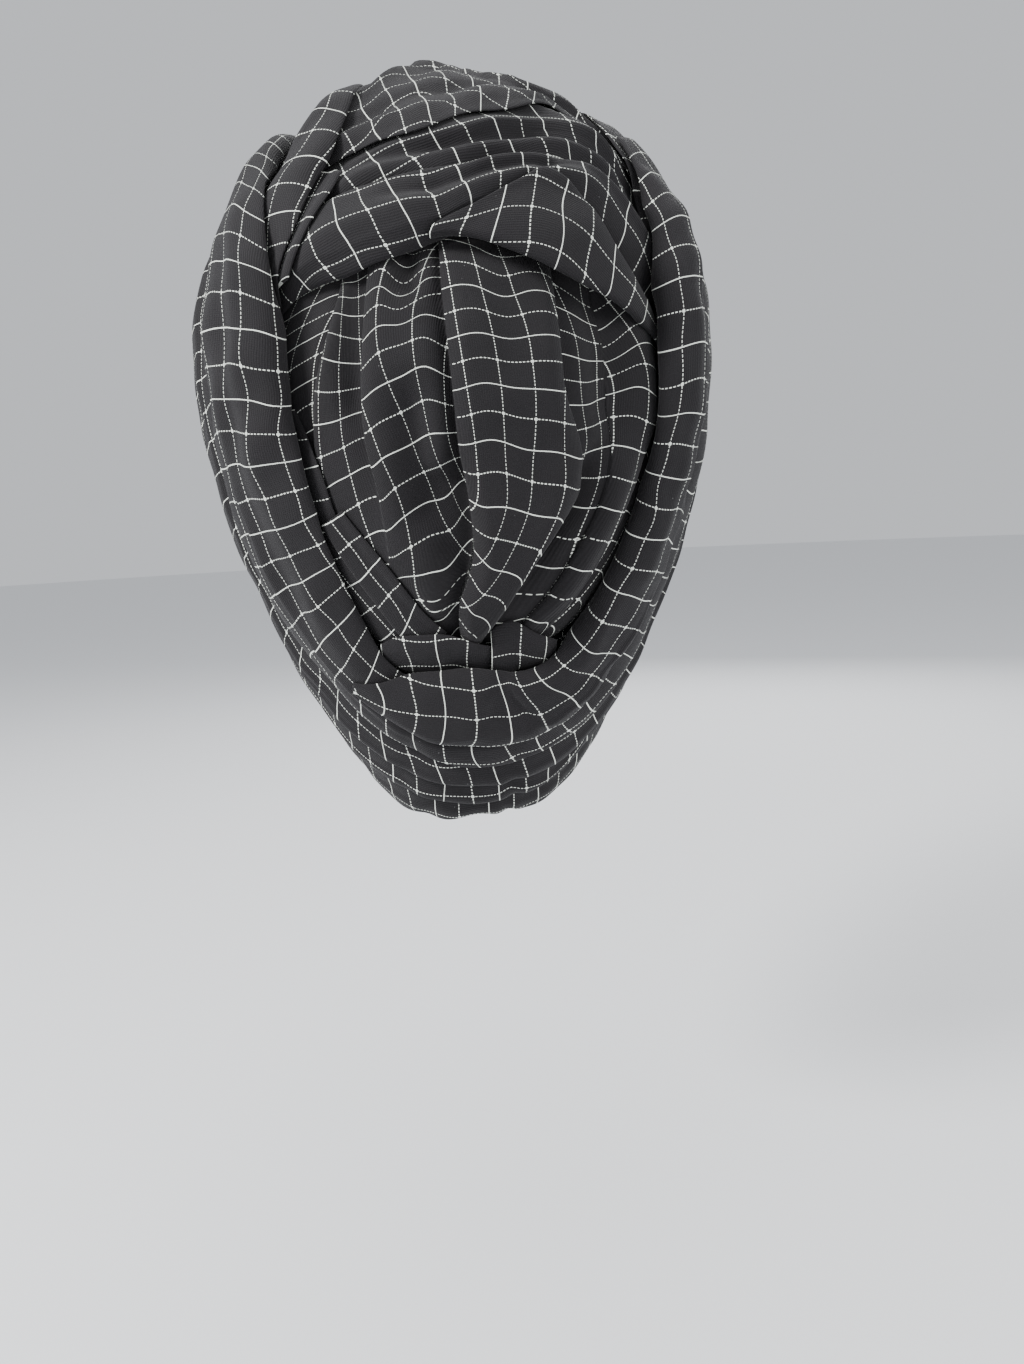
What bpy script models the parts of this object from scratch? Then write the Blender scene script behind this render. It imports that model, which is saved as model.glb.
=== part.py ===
# Turban headwrap, wound from one long printed cloth: a plain first turn over the head, a pleated crown
# panel at the back, and rolled folds that wind round the nape, the sides, the forehead and the top.
# Metres, +Z up, the wearer faces -Y. The origin is the middle of the head opening.

import math

import bmesh
import bpy
from mathutils import Vector
from mathutils.bvhtree import BVHTree

# The egg shape that the outermost folds reach
WRAP_WIDTH = 0.260
BACK_DEPTH = 0.136
FRONT_DEPTH = 0.122
TOP_HEIGHT = 0.138
LOWER_HEIGHT = 0.255
WIDEST_LEVEL = 0.148
UPPER_FULLNESS = 2.1
LOWER_FULLNESS = 1.57
NAPE_SWEEP = 0.07
SWEEP_SOFTNESS = 0.1

# The slanted head opening, low at the nape and high over the forehead
RIM_LEVEL = 0.001
RIM_SLOPE = 0.86
RIM_COVER = 0.008
RIM_HALVINGS = 30

# How deep the folds are wound, and the cloth of the first turn and of the panel
WINDING_DEPTH = 0.020
CLOTH_WALL = 0.0025
PANEL_WALL = 0.0025

# The most and the least that a fold is thick, and how full and how round the folds are
ROLL_THICKNESS = 0.020
TOP_FOLD_THICKNESS = 0.012
STRIP_THICKNESS = 0.010
FLAP_THICKNESS = 0.004
LEAST_FOLD = 0.0016
ROLL_BULGE = 0.15
FLAP_BULGE = 0.05
ROLL_EDGE = 0.4
FLAP_EDGE = 0.2
EDGE_STEPS = (0.0, 0.06, 0.35, 1.0)

# The gap between layers, and how widely the cloth beneath is felt for before a fold is laid on it
LAYER_GAP = 0.0006
RESTING_RINGS = (0.3, 0.6, 0.9, 1.2)
RESTING_TURNS = 12
ALONG_REACH = 0.55
ACROSS_REACH = 0.13
SETTLE_ROUNDS = 3
SETTLE_STEPS = 4

# Pleats of the crown panel
PLEAT_HEIGHT = 0.010
PLEAT_SPREAD = 0.020
PLEAT_LIP = 0.0025

# How finely the folds are modelled
FOLD_STATIONS = 34
PANEL_STATIONS = 18
ROW_STEPS = 12
DOME_TURNS = 26
DOME_RINGS = 9

CHARCOAL = (0.022, 0.021, 0.023, 1.0)
CLOTH_ROUGHNESS = 0.85

CENTRE = Vector((0.0, 0.0, WIDEST_LEVEL))
FAR_OUT = 3.0 * WRAP_WIDTH
SMALL_TILT = 0.02
MOST_SLANT = 3.0

# Columns of every fold: azimuth and elevation of its inner edge, the same of its outer edge, then how
# far each edge stands out from the egg shape, as a share of the winding depth. Azimuth is 0 at the nape
# and grows towards the wearer's left ear. Angles are in degrees, seen from the middle of the egg.

NAPE_BOTTOM = [
    (-3, -67, -3, -73.5, -0.90, -0.35),
    (22, -66, 26, -74.5, -0.90, -0.35),
    (45, -60, 54, -72.5, -0.90, -0.40),
    (61, -50, 75, -66, -0.90, -0.50),
    (73, -34, 92, -58, -0.85, -0.45),
    (90, -12, 112, -49, -0.80, -0.40),
    (112, 3, 132, -39, -0.80, -0.40),
    (144, 11, 156, -28, -0.80, -0.40),
    (180, 13, 180, -24, -0.80, -0.40),
    (-144, 11, -156, -28, -0.80, -0.40),
    (-112, 3, -132, -39, -0.80, -0.40),
    (-90, -12, -112, -49, -0.80, -0.40),
    (-73, -34, -92, -58, -0.85, -0.45),
    (-61, -50, -76, -63, -0.90, -0.50),
    (-48, -60, -58, -70, -0.90, -0.40),
    (-26, -66, -30, -74, -0.90, -0.35),
]

NAPE_LOWER = [
    (-3, -64, -3, -70.5, -0.75, -0.20),
    (20, -63, 24, -69.5, -0.75, -0.20),
    (44, -56, 54, -64.5, -0.75, -0.35),
    (57, -43, 72, -55, -0.75, -0.30),
    (64, -25, 84, -39, -0.75, -0.25),
    (67, -4, 96, -19, -0.70, -0.20),
    (73, 14, 110, -1, -0.70, -0.20),
    (92, 29, 126, 5, -0.70, -0.20),
    (134, 33, 144, 6, -0.70, -0.20),
    (180, 34, 180, 5, -0.70, -0.20),
    (-134, 33, -144, 6, -0.70, -0.20),
    (-100, 27, -126, 5, -0.70, -0.20),
    (-82, 11, -110, -2, -0.70, -0.20),
    (-78, -8, -98, -20, -0.70, -0.20),
    (-72, -27, -88, -39, -0.75, -0.25),
    (-62, -45, -74, -55, -0.75, -0.30),
    (-46, -56, -56, -64, -0.75, -0.35),
    (-26, -63, -29, -69.5, -0.75, -0.20),
]

OUTER_LAYER = [
    (-3, -60, -3, -67, -0.60, -0.05),
    (16, -59, 18, -66, -0.60, -0.05),
    (32, -53, 44, -60, -0.60, -0.20),
    (44, -40, 64, -47, -0.60, -0.20),
    (47, -24, 72, -27, -0.60, -0.10),
    (45, -3, 76, -4, -0.60, -0.05),
    (46, 13, 78, 12, -0.60, -0.05),
    (49, 27, 82, 22, -0.60, -0.05),
    (60, 42, 92, 27, -0.60, -0.05),
    (86, 53, 110, 28, -0.60, -0.05),
    (132, 55, 138, 26, -0.60, -0.05),
    (180, 55, 180, 24, -0.60, -0.05),
    (-132, 55, -138, 26, -0.60, -0.05),
    (-88, 52, -110, 28, -0.60, -0.05),
    (-68, 36, -94, 25, -0.60, -0.05),
    (-64, 14, -90, 12, -0.60, -0.05),
    (-64, -4, -88, -6, -0.60, -0.05),
    (-62, -22, -84, -24, -0.60, -0.10),
    (-57, -38, -76, -42, -0.60, -0.20),
    (-46, -52, -58, -58, -0.60, -0.20),
    (-26, -58, -30, -66, -0.60, -0.05),
]

TOP_FRONT = [
    (62, 48, 86, 44, -0.85, -0.80),
    (66, 62, 104, 53, -0.75, -0.60),
    (64, 80, 140, 54, -0.65, -0.35),
    (0, 84, 180, 53, -0.60, -0.35),
    (-64, 80, -140, 54, -0.65, -0.35),
    (-66, 62, -104, 53, -0.75, -0.60),
    (-62, 48, -86, 44, -0.85, -0.80),
]

TOP_MIDDLE = [
    (36, 21, 42, 34, -0.85, -0.85),
    (28, 23, 32, 40, -0.70, -0.65),
    (18, 25, 19, 46, -0.60, -0.45),
    (7, 26, 5, 50, -0.50, -0.40),
    (-4, 27, -8, 55, -0.45, -0.40),
    (-15, 30, -24, 60, -0.40, -0.40),
    (-28, 31, -50, 62, -0.45, -0.40),
    (-42, 29, -66, 50, -0.55, -0.45),
    (-54, 20, -72, 34, -0.80, -0.70),
]

TOP_UPPER = [
    (39, 30, 60, 46, -0.75, -0.65),
    (28, 36, 64, 62, -0.40, -0.25),
    (17, 39, 80, 77, -0.25, -0.10),
    (3, 40, 180, 74, -0.20, -0.05),
    (-9, 45, -140, 74, -0.15, -0.05),
    (-22, 47.5, -108, 70, -0.15, -0.10),
    (-42, 53, -88, 61, -0.20, -0.20),
    (-54, 48, -78, 50, -0.30, -0.40),
    (-55, 38, -74, 38, -0.65, -0.65),
]

TOP_LOWER = [
    (38, 7, 43, 18, -0.90, -0.85),
    (31, 11.5, 33, 23, -0.60, -0.60),
    (24, 13.5, 23, 28.5, -0.45, -0.35),
    (17, 14, 16, 30, -0.40, -0.25),
    (8, 16, 6, 31, -0.35, -0.20),
    (-1, 19, -5, 32, -0.30, -0.20),
    (-8, 22, -14, 34.5, -0.30, -0.20),
    (-18, 25, -27, 36, -0.30, -0.20),
    (-30, 25, -40, 34, -0.35, -0.25),
    (-38, 19, -51, 26, -0.50, -0.40),
    (-47, 9, -58, 13, -0.85, -0.70),
]

TUCKED_TAIL = [
    (1, 18.5, 0, 20, -0.20, -0.15),
    (-5, 18, -8, 23.5, -0.10, -0.05),
    (-12, 15.5, -17, 28, 0.00, -0.05),
    (-18, 13, -23, 30, 0.05, -0.05),
    (-25, 10, -31, 25, 0.05, -0.05),
    (-34, 7, -38, 15, -0.05, -0.15),
    (-43, 4, -46, 9, -0.35, -0.40),
    (-51, 0, -54, 4, -0.80, -0.75),
]

POCKET_FOLD = [
    (20, 34, 30, 37, -0.60, -0.60),
    (22, 28, 31, 29, -0.45, -0.50),
    (25, 22, 34, 22, -0.50, -0.55),
    (29, 14, 37, 13, -0.75, -0.80),
]

TAIL_STRIP = [
    (26, 60, 42, 58, -0.10, -0.15),
    (23, 49, 34, 50, -0.05, -0.10),
    (22.5, 39, 38, 41, -0.05, -0.15),
    (26, 32, 43, 34, -0.15, -0.25),
    (28, 24, 43, 24, -0.20, -0.35),
    (31, 17, 40, 17, -0.35, -0.50),
    (32, 10, 38, 10, -0.70, -0.75),
]

LEFT_ROLL = [
    (31, -9, 38, -9, -0.80, -0.80),
    (26, -19, 36, -20, -0.45, -0.60),
    (23, -30, 33, -32, -0.40, -0.55),
    (17, -37.5, 29, -42, -0.40, -0.55),
    (8, -45, 19, -51, -0.45, -0.60),
    (2, -49, 8, -55, -0.75, -0.80),
]

THIN_FOLD = [
    (22, -27, 27, -29, -0.80, -0.80),
    (14, -35.5, 20, -39, -0.60, -0.65),
    (8, -42.5, 13, -47, -0.60, -0.70),
    (3, -46.5, 7, -50, -0.80, -0.80),
]

NAPE_SLING = [
    (19, -48, 20, -56, -0.55, -0.80),
    (13, -46, 13, -56, -0.50, -0.75),
    (4, -46, 4, -57, -0.50, -0.75),
    (-4, -48, -4, -57, -0.50, -0.75),
    (-11, -50.5, -11, -57, -0.65, -0.80),
]

NAPE_KNOT = [
    (-7, -47, -7, -53, -0.45, -0.65),
    (-12, -45.5, -12, -54, -0.35, -0.65),
    (-18, -47.5, -18, -55, -0.35, -0.65),
    (-24, -50, -24, -56, -0.60, -0.70),
]

MAIN_LEFT = [
    (-3, -55, -3, -64, -0.40, 0.00),
    (10, -54, 14, -62, -0.30, 0.00),
    (20, -47, 32, -57, -0.10, -0.05),
    (25, -34, 53, -41, 0.05, -0.10),
    (28, -19, 57, -20, 0.15, 0.00),
    (30, -5, 54, -2, 0.20, 0.10),
    (31, 11, 54, 15, 0.15, 0.10),
    (34, 21, 57, 27, 0.10, 0.05),
    (41, 36, 62, 42, 0.00, -0.05),
    (60, 54, 80, 48, 0.00, -0.05),
    (110, 66, 110, 44, 0.00, 0.05),
    (180, 66, 180, 41, 0.00, 0.05),
    (-110, 66, -110, 44, 0.00, 0.05),
    (-62, 54, -78, 47, -0.10, 0.00),
    (-54, 35, -76, 34, -0.30, 0.05),
    (-52, 16, -75, 16, -0.40, 0.05),
    (-51, 0, -74, 0, -0.40, 0.05),
    (-50, -16, -73, -18, -0.40, 0.00),
    (-47, -32, -68, -37, -0.40, -0.10),
    (-38, -46, -56, -53, -0.40, -0.15),
    (-20, -53, -30, -62, -0.40, -0.05),
]

MAIN_RIGHT = [
    (-58, 46, -68, 45, -0.20, -0.10),
    (-53, 33, -66, 33, 0.05, 0.10),
    (-47, 17, -63, 18, 0.20, 0.20),
    (-45, 4, -62, 4, 0.25, 0.20),
    (-44, -10, -60, -9, 0.25, 0.20),
    (-42, -24, -57, -26, 0.20, 0.15),
    (-36, -37, -53, -40, 0.20, 0.10),
    (-27, -48, -43, -51, 0.15, 0.10),
    (-16, -52, -29, -58, 0.10, 0.15),
    (-4, -51, -3, -60, 0.10, 0.20),
    (10, -51, 12, -58.5, 0.05, 0.20),
    (20, -51, 21, -55.5, 0.00, 0.10),
    (26, -51, 27, -52.5, -0.15, -0.05),
]

# Columns of the crown panel: azimuth and elevation of its left edge, the same of its right edge, then
# how far its middle and its edges stand out, as shares of the winding depth.
PANEL_SECTIONS = [
    (44, 22, -60, 18, -0.90, -0.92),
    (42, 11, -58, 7, -0.55, -0.92),
    (41, -2, -57, -4, -0.25, -0.92),
    (40, -13, -56, -15, -0.15, -0.92),
    (38, -25, -53, -26, -0.20, -0.92),
    (32, -36, -47, -38, -0.35, -0.92),
    (22, -45, -36, -48, -0.60, -0.92),
    (10, -51, -20, -53, -0.80, -0.92),
    (4, -56, -10, -56, -0.92, -0.92),
]

# Columns of the pleats: where the crease lies across the panel at its top, middle and bottom, as a
# share from the left edge, then its height and spread as shares, and the side that stands up.
PANEL_PLEATS = [
    (0.20, 0.21, 0.26, 0.45, 0.6, 1),
    (0.29, 0.30, 0.34, 0.50, 0.6, 1),
    (0.42, 0.44, 0.43, 0.90, 1.0, 1),
    (0.60, 0.67, 0.60, 0.75, 0.9, -1),
    (0.73, 0.78, 0.72, 0.60, 0.6, -1),
]


def direction(azimuth, elevation):
    """The unit vector from the middle of the egg at these angles, in degrees."""
    a = math.radians(azimuth)
    e = math.radians(elevation)
    return Vector((math.sin(a) * math.cos(e), math.cos(a) * math.cos(e), math.sin(e)))


def egg_radius(d):
    """How far the egg shape lies from its middle along a unit vector."""
    lean = 0.5 * (math.hypot(d.z, SWEEP_SOFTNESS) - d.z)
    y = d.y - NAPE_SWEEP * lean
    across = math.hypot(2.0 * d.x / WRAP_WIDTH, y / (BACK_DEPTH if y > 0 else FRONT_DEPTH))
    if d.z > 0:
        height, fullness = TOP_HEIGHT, UPPER_FULLNESS
    else:
        height, fullness = LOWER_HEIGHT, LOWER_FULLNESS
    return (across ** fullness + abs(d.z / height) ** fullness) ** (-1.0 / fullness)


def slant(d):
    """How much longer a step away from the middle is than the same step square to the egg's surface."""
    down = (d + Vector((0.0, 0.0, -SMALL_TILT))).normalized()
    turned = max(down.angle(d), 1e-6)
    grade = (egg_radius(down) - egg_radius(d)) / (turned * egg_radius(d))
    return min(math.hypot(1.0, grade), MOST_SLANT)


def at_radius(d, radius):
    """The point at this distance from the middle of the egg."""
    return CENTRE + d * radius


def smooth_value(a, b, c, d, t):
    """A curve through b and c that looks ahead to d and back to a."""
    square = (2 * a - 5 * b + 4 * c - d) * t * t
    cube = (3 * b - a - 3 * c + d) * t ** 3
    return 0.5 * (2 * b + (c - a) * t + square + cube)


def smooth_rows(rows, stations, closed):
    """Evenly spaced sections along a fold, each a pair of edge directions and a pair of rises."""
    points = [(direction(r[0], r[1]), direction(r[2], r[3]), Vector((r[4], r[5], 0.0))) for r in rows]
    count = len(points)
    spans = count if closed else count - 1
    fine = []
    for k in range(spans):
        if closed:
            near = [points[(k + i) % count] for i in (-1, 0, 1, 2)]
        else:
            near = [points[min(max(k + i, 0), count - 1)] for i in (-1, 0, 1, 2)]
        for i in range(ROW_STEPS):
            fine.append([smooth_value(*[n[c] for n in near], i / ROW_STEPS) for c in range(3)])
    if not closed:
        fine.append(list(points[-1]))
    walked = [0.0]
    ring = fine + [fine[0]] if closed else fine
    for before, after in zip(ring, ring[1:]):
        walked.append(walked[-1] + ((after[0] + after[1]) - (before[0] + before[1])).length / 2)
    steps = stations if closed else stations - 1
    sections = []
    k = 0
    for s in range(stations):
        wanted = walked[-1] * s / steps
        while k < len(walked) - 2 and walked[k + 1] < wanted:
            k += 1
        share = (wanted - walked[k]) / max(walked[k + 1] - walked[k], 1e-9)
        blend = [ring[k][c].lerp(ring[k + 1][c], share) for c in range(3)]
        sections.append((blend[0].normalized(), blend[1].normalized(), blend[2].x, blend[2].y))
    return sections


class Winding:
    """All that has been wound so far, as one surface that the next fold rests on."""

    def __init__(self):
        self.points = []
        self.faces = []
        self.tree = None

    def add(self, mesh):
        start = len(self.points)
        self.points += [v.co.copy() for v in mesh.vertices]
        self.faces += [[start + i for i in face.vertices] for face in mesh.polygons]
        self.tree = BVHTree.FromPolygons(self.points, self.faces)

    def top(self, d):
        """The radius of the outermost cloth along a unit vector, or of the first turn past its rim."""
        bare = egg_radius(d) - WINDING_DEPTH
        if self.tree is None:
            return bare
        hit = self.tree.ray_cast(CENTRE + d * FAR_OUT, -d, FAR_OUT - 0.5 * bare)[0]
        return bare if hit is None else max((hit - CENTRE).length, bare)

    def resting_radius(self, d, along, across):
        """The highest cloth near a direction, measured from the egg shape, so that a coarse face clears
        what lies between its corners."""
        best = self.top(d) - egg_radius(d)
        for ring in RESTING_RINGS:
            for turn in range(RESTING_TURNS):
                a = 2.0 * math.pi * turn / RESTING_TURNS
                near = (d + ring * (along * math.cos(a) + across * math.sin(a))).normalized()
                best = max(best, self.top(near) - egg_radius(near))
        return egg_radius(d) + best


WINDING = Winding()


def cloth_material(name):
    """Charcoal printed knit, as one plain colour."""
    material = bpy.data.materials.new(name + "_cloth")
    material.use_nodes = True
    shader = material.node_tree.nodes["Principled BSDF"]
    shader.inputs["Base Color"].default_value = CHARCOAL
    shader.inputs["Roughness"].default_value = CLOTH_ROUGHNESS
    shader.inputs["Metallic"].default_value = 0.0
    return material


def add_object(name, points, faces, collection):
    """One piece of cloth with its own material, its faces turned outwards, which later folds rest on."""
    mesh = bpy.data.meshes.new(name)
    mesh.from_pydata(points, [], faces)
    shape = bmesh.new()
    shape.from_mesh(mesh)
    bmesh.ops.triangulate(shape, faces=shape.faces)
    bmesh.ops.recalc_face_normals(shape, faces=shape.faces)
    if shape.calc_volume(signed=True) < 0:
        bmesh.ops.reverse_faces(shape, faces=shape.faces)
    shape.to_mesh(mesh)
    shape.free()
    WINDING.add(mesh)
    mesh.shade_smooth()
    mesh.materials.append(cloth_material(name))
    piece = bpy.data.objects.new(name, mesh)
    collection.objects.link(piece)
    return piece


def station_reach(sections, s, closed):
    """Just over half the way from one section to the next, along whichever edge is the longer."""
    other = sections[(s + 1) % len(sections)] if closed or s + 1 < len(sections) else sections[s - 1]
    here = sections[s]
    return ALONG_REACH * max((here[0] - other[0]).length, (here[1] - other[1]).length)


def sagitta(reach):
    """How far a straight stretch between two sections dips inside the curve of the egg."""
    half_step = reach / (2.0 * ALONG_REACH)
    return 0.5 * (0.5 * WRAP_WIDTH) * half_step * half_step


def rounded(share, edge_share):
    """Full height in the middle of a fold, falling round to nothing at its edges."""
    past = max(0.0, (abs(share) - 1.0 + edge_share) / edge_share)
    return math.sqrt(max(0.0, 1.0 - past * past))


def settle(directions, rest, closed):
    """Raise the underside of a fold until the faces between its sections clear the cloth beneath,
    whichever way each four-sided face is cut into triangles."""
    steps = range(SETTLE_STEPS + 1)
    shares = [(i / SETTLE_STEPS, j / SETTLE_STEPS) for i in steps for j in steps if i + j <= SETTLE_STEPS]
    for again in range(SETTLE_ROUNDS):
        for s in range(len(rest) if closed else len(rest) - 1):
            after = (s + 1) % len(rest)
            for k in range(len(rest[s]) - 1):
                corners = [(s, k), (s, k + 1), (after, k + 1), (after, k)]
                places = [directions[i][j] * rest[i][j] for i, j in corners]
                short = 0.0
                for turn in range(4):
                    corner, before, beyond = places[turn], places[turn - 1], places[(turn + 1) % 4]
                    for u, v in shares:
                        spot = corner + (before - corner) * u + (beyond - corner) * v
                        d = spot.normalized()
                        short = max(short, WINDING.top(d) + LAYER_GAP * slant(d) - spot.length)
                for i, j in corners:
                    rest[i][j] += short


def wound_fold(name, rows, collection, stations=FOLD_STATIONS, closed=False,
               thickness=ROLL_THICKNESS, edge_share=ROLL_EDGE, bulge=ROLL_BULGE):
    """A rolled fold laid along its rows over all that was wound before it."""
    half = [-1.0 + edge_share * s for s in EDGE_STEPS]
    shares = half + [0.0] + [-s for s in reversed(half)]
    underside = range(len(shares) - 3, 1, -1)
    sections = smooth_rows(rows, stations, closed)
    directions = []
    rest = []
    for s, (inner, outer, rise_in, rise_out) in enumerate(sections):
        reach = station_reach(sections, s, closed)
        across = outer - inner
        along = across.cross(inner).normalized() * reach
        directions.append([inner.lerp(outer, 0.5 * (share + 1.0)).normalized() for share in shares])
        rest.append([WINDING.resting_radius(d, along, across * ACROSS_REACH)
                     + (LAYER_GAP + sagitta(reach)) * slant(d) for d in directions[-1]])
    settle(directions, rest, closed)

    points = []
    for s, (inner, outer, rise_in, rise_out) in enumerate(sections):
        at_end = not closed and s in (0, stations - 1)
        bottoms = []
        tops = []
        for share, d, floor in zip(shares, directions[s], rest[s]):
            rise = rise_in + (rise_out - rise_in) * 0.5 * (share + 1.0) + bulge * (1.0 - share * share)
            least = floor + LEAST_FOLD * slant(d)
            tops.append(least if at_end else max(egg_radius(d) + rise * WINDING_DEPTH, least))
            bottoms.append(max(floor, tops[-1] - thickness))
        for k, share in enumerate(shares):
            middle = 0.5 * (bottoms[k] + tops[k])
            lift = (tops[k] - middle) * rounded(share, edge_share)
            points.append(at_radius(directions[s][k], middle + lift))
        for k in underside:
            middle = 0.5 * (bottoms[k] + tops[k])
            drop = (middle - bottoms[k]) * rounded(shares[k], edge_share)
            points.append(at_radius(directions[s][k], middle - drop))
    ring = len(shares) + len(underside)
    faces = []
    for s in range(stations if closed else stations - 1):
        a = s * ring
        b = ((s + 1) % stations) * ring
        for i in range(ring):
            j = (i + 1) % ring
            faces.append([a + i, a + j, b + j, b + i])
    if not closed:
        faces.append(list(range(ring)))
        faces.append([(stations - 1) * ring + i for i in reversed(range(ring))])
    return add_object(name, points, faces, collection)


def rim_elevation(azimuth):
    """How far down the first turn reaches on this side, just above the slanted rim."""
    low, high = -85.0, 0.0
    for halving in range(RIM_HALVINGS):
        middle = 0.5 * (low + high)
        d = direction(azimuth, middle)
        point = at_radius(d, egg_radius(d) - WINDING_DEPTH)
        if point.z < RIM_LEVEL + RIM_COVER - RIM_SLOPE * point.y:
            low = middle
        else:
            high = middle
    return high


def first_turn(name, collection):
    """The plain first turn over the head: an open dome with a wall of one cloth."""
    points = []
    for turn in range(DOME_TURNS):
        azimuth = 360.0 * turn / DOME_TURNS
        start = rim_elevation(azimuth)
        for ring in range(DOME_RINGS):
            d = direction(azimuth, start + (90.0 - start) * ring / DOME_RINGS)
            points.append(at_radius(d, egg_radius(d) - WINDING_DEPTH))
    pole = len(points)
    points.append(at_radius(Vector((0, 0, 1)), egg_radius(Vector((0, 0, 1))) - WINDING_DEPTH))
    faces = []
    for turn in range(DOME_TURNS):
        a = turn * DOME_RINGS
        b = ((turn + 1) % DOME_TURNS) * DOME_RINGS
        for ring in range(DOME_RINGS - 1):
            faces.append([a + ring, a + ring + 1, b + ring + 1, b + ring])
        faces.append([a + DOME_RINGS - 1, pole, b + DOME_RINGS - 1])
    piece = add_object(name, points, faces, collection)
    wall = piece.modifiers.new("cloth_wall", "SOLIDIFY")
    wall.thickness = CLOTH_WALL
    wall.offset = -1.0
    return piece


def pleat_height(across, row_share, width):
    """How far the pleats lift the panel at a share of its width, at this share of its length."""
    lift = 0.0
    for top, middle, bottom, height, spread, side in PANEL_PLEATS:
        crease = crease_share(top, middle, bottom, row_share)
        gone = (across - crease) * side * width
        step = min(1.0, max(0.0, 0.5 + 0.5 * gone / PLEAT_LIP))
        fade = math.exp(-max(gone, 0.0) / (spread * PLEAT_SPREAD))
        lift += height * PLEAT_HEIGHT * step * fade
    return lift


def crease_share(top, middle, bottom, row_share):
    """A crease bends gently from its place at the top to its places at the middle and the bottom."""
    return (top * (1 - row_share) * (1 - 2 * row_share) + 4 * middle * row_share * (1 - row_share)
            + bottom * row_share * (2 * row_share - 1))


def crown_panel(name, collection):
    """The pleated cloth over the back of the crown, gathered under the nape folds and the top folds."""
    sections = smooth_rows(PANEL_SECTIONS, PANEL_STATIONS, False)
    upper = []
    lower = []
    for s, (left, right, rise_middle, rise_edge) in enumerate(sections):
        row_share = s / (PANEL_STATIONS - 1)
        width = (right - left).length * egg_radius(left.lerp(right, 0.5).normalized())
        shares = [0.0]
        for pleat in PANEL_PLEATS:
            crease = crease_share(*pleat[:3], row_share)
            shares += [0.5 * (shares[-1] + crease), crease - PLEAT_LIP / width, crease + PLEAT_LIP / width]
        shares += [0.5 * (shares[-1] + 1.0), 1.0]
        fade = math.sqrt(max(0.0, math.sin(math.pi * row_share)))
        for share in sorted(shares):
            d = left.lerp(right, share).normalized()
            arch = 1.0 - abs(2.0 * share - 1.0) ** 3
            rise = rise_edge + (rise_middle - rise_edge) * arch
            lift = pleat_height(share, row_share, width) * arch * fade
            floor = WINDING.top(d) + LAYER_GAP + PANEL_WALL
            top = max(egg_radius(d) + rise * WINDING_DEPTH + lift - 0.5 * PLEAT_HEIGHT * arch * fade, floor)
            upper.append(at_radius(d, top))
            lower.append(at_radius(d, top - PANEL_WALL))
    columns = len(upper) // PANEL_STATIONS
    half = len(upper)
    points = upper + lower
    faces = []
    for s in range(PANEL_STATIONS - 1):
        for i in range(columns - 1):
            a = s * columns + i
            b = a + columns
            faces.append([a, a + 1, b + 1, b])
            faces.append([half + a, half + b, half + b + 1, half + a + 1])
    border = list(range(columns))
    border += [s * columns + columns - 1 for s in range(1, PANEL_STATIONS)]
    border += [(PANEL_STATIONS - 1) * columns + i for i in reversed(range(columns - 1))]
    border += [s * columns for s in reversed(range(1, PANEL_STATIONS - 1))]
    for a, b in zip(border, border[1:] + border[:1]):
        faces.append([a, half + a, half + b, b])
    return add_object(name, points, faces, collection)


for old in list(bpy.data.objects):
    bpy.data.objects.remove(old, do_unlink=True)

headwrap = bpy.data.collections.new("turban_headwrap")
bpy.context.scene.collection.children.link(headwrap)

# The pieces, in the order in which they are wound
first_turn("first_turn", headwrap)
crown_panel("crown_panel", headwrap)
wound_fold("nape_bottom_fold", NAPE_BOTTOM, headwrap, closed=True)
wound_fold("nape_lower_fold", NAPE_LOWER, headwrap, closed=True)
wound_fold("outer_side_fold", OUTER_LAYER, headwrap, closed=True)
wound_fold("top_front_fold", TOP_FRONT, headwrap, stations=17, thickness=TOP_FOLD_THICKNESS)
wound_fold("top_middle_fold", TOP_MIDDLE, headwrap, stations=15, thickness=TOP_FOLD_THICKNESS)
wound_fold("top_upper_fold", TOP_UPPER, headwrap, stations=15, thickness=TOP_FOLD_THICKNESS)
wound_fold("top_lower_fold", TOP_LOWER, headwrap, stations=16, thickness=TOP_FOLD_THICKNESS)
wound_fold("tucked_tail", TUCKED_TAIL, headwrap, stations=12, thickness=FLAP_THICKNESS,
           edge_share=FLAP_EDGE, bulge=FLAP_BULGE)
wound_fold("pocket_fold", POCKET_FOLD, headwrap, stations=8, thickness=STRIP_THICKNESS)
wound_fold("tail_strip", TAIL_STRIP, headwrap, stations=13, thickness=STRIP_THICKNESS)
wound_fold("left_inner_roll", LEFT_ROLL, headwrap, stations=13)
wound_fold("thin_inner_fold", THIN_FOLD, headwrap, stations=8, thickness=STRIP_THICKNESS)
wound_fold("nape_sling", NAPE_SLING, headwrap, stations=12, thickness=STRIP_THICKNESS)
wound_fold("nape_knot", NAPE_KNOT, headwrap, stations=9, thickness=STRIP_THICKNESS)
wound_fold("main_left_fold", MAIN_LEFT, headwrap, stations=FOLD_STATIONS + 4, closed=True)
wound_fold("main_right_fold", MAIN_RIGHT, headwrap, stations=30)
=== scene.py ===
# Turban headwrap: one long charcoal knit cloth with an off-white windowpane print, wound round the head
# in layers. Metres, +Z up. The wearer faces -Y, so the gathered back of the wrap looks towards +Y.

import math

import bpy
import numpy as np
from mathutils import Matrix, Vector
from mathutils.bvhtree import BVHTree


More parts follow.
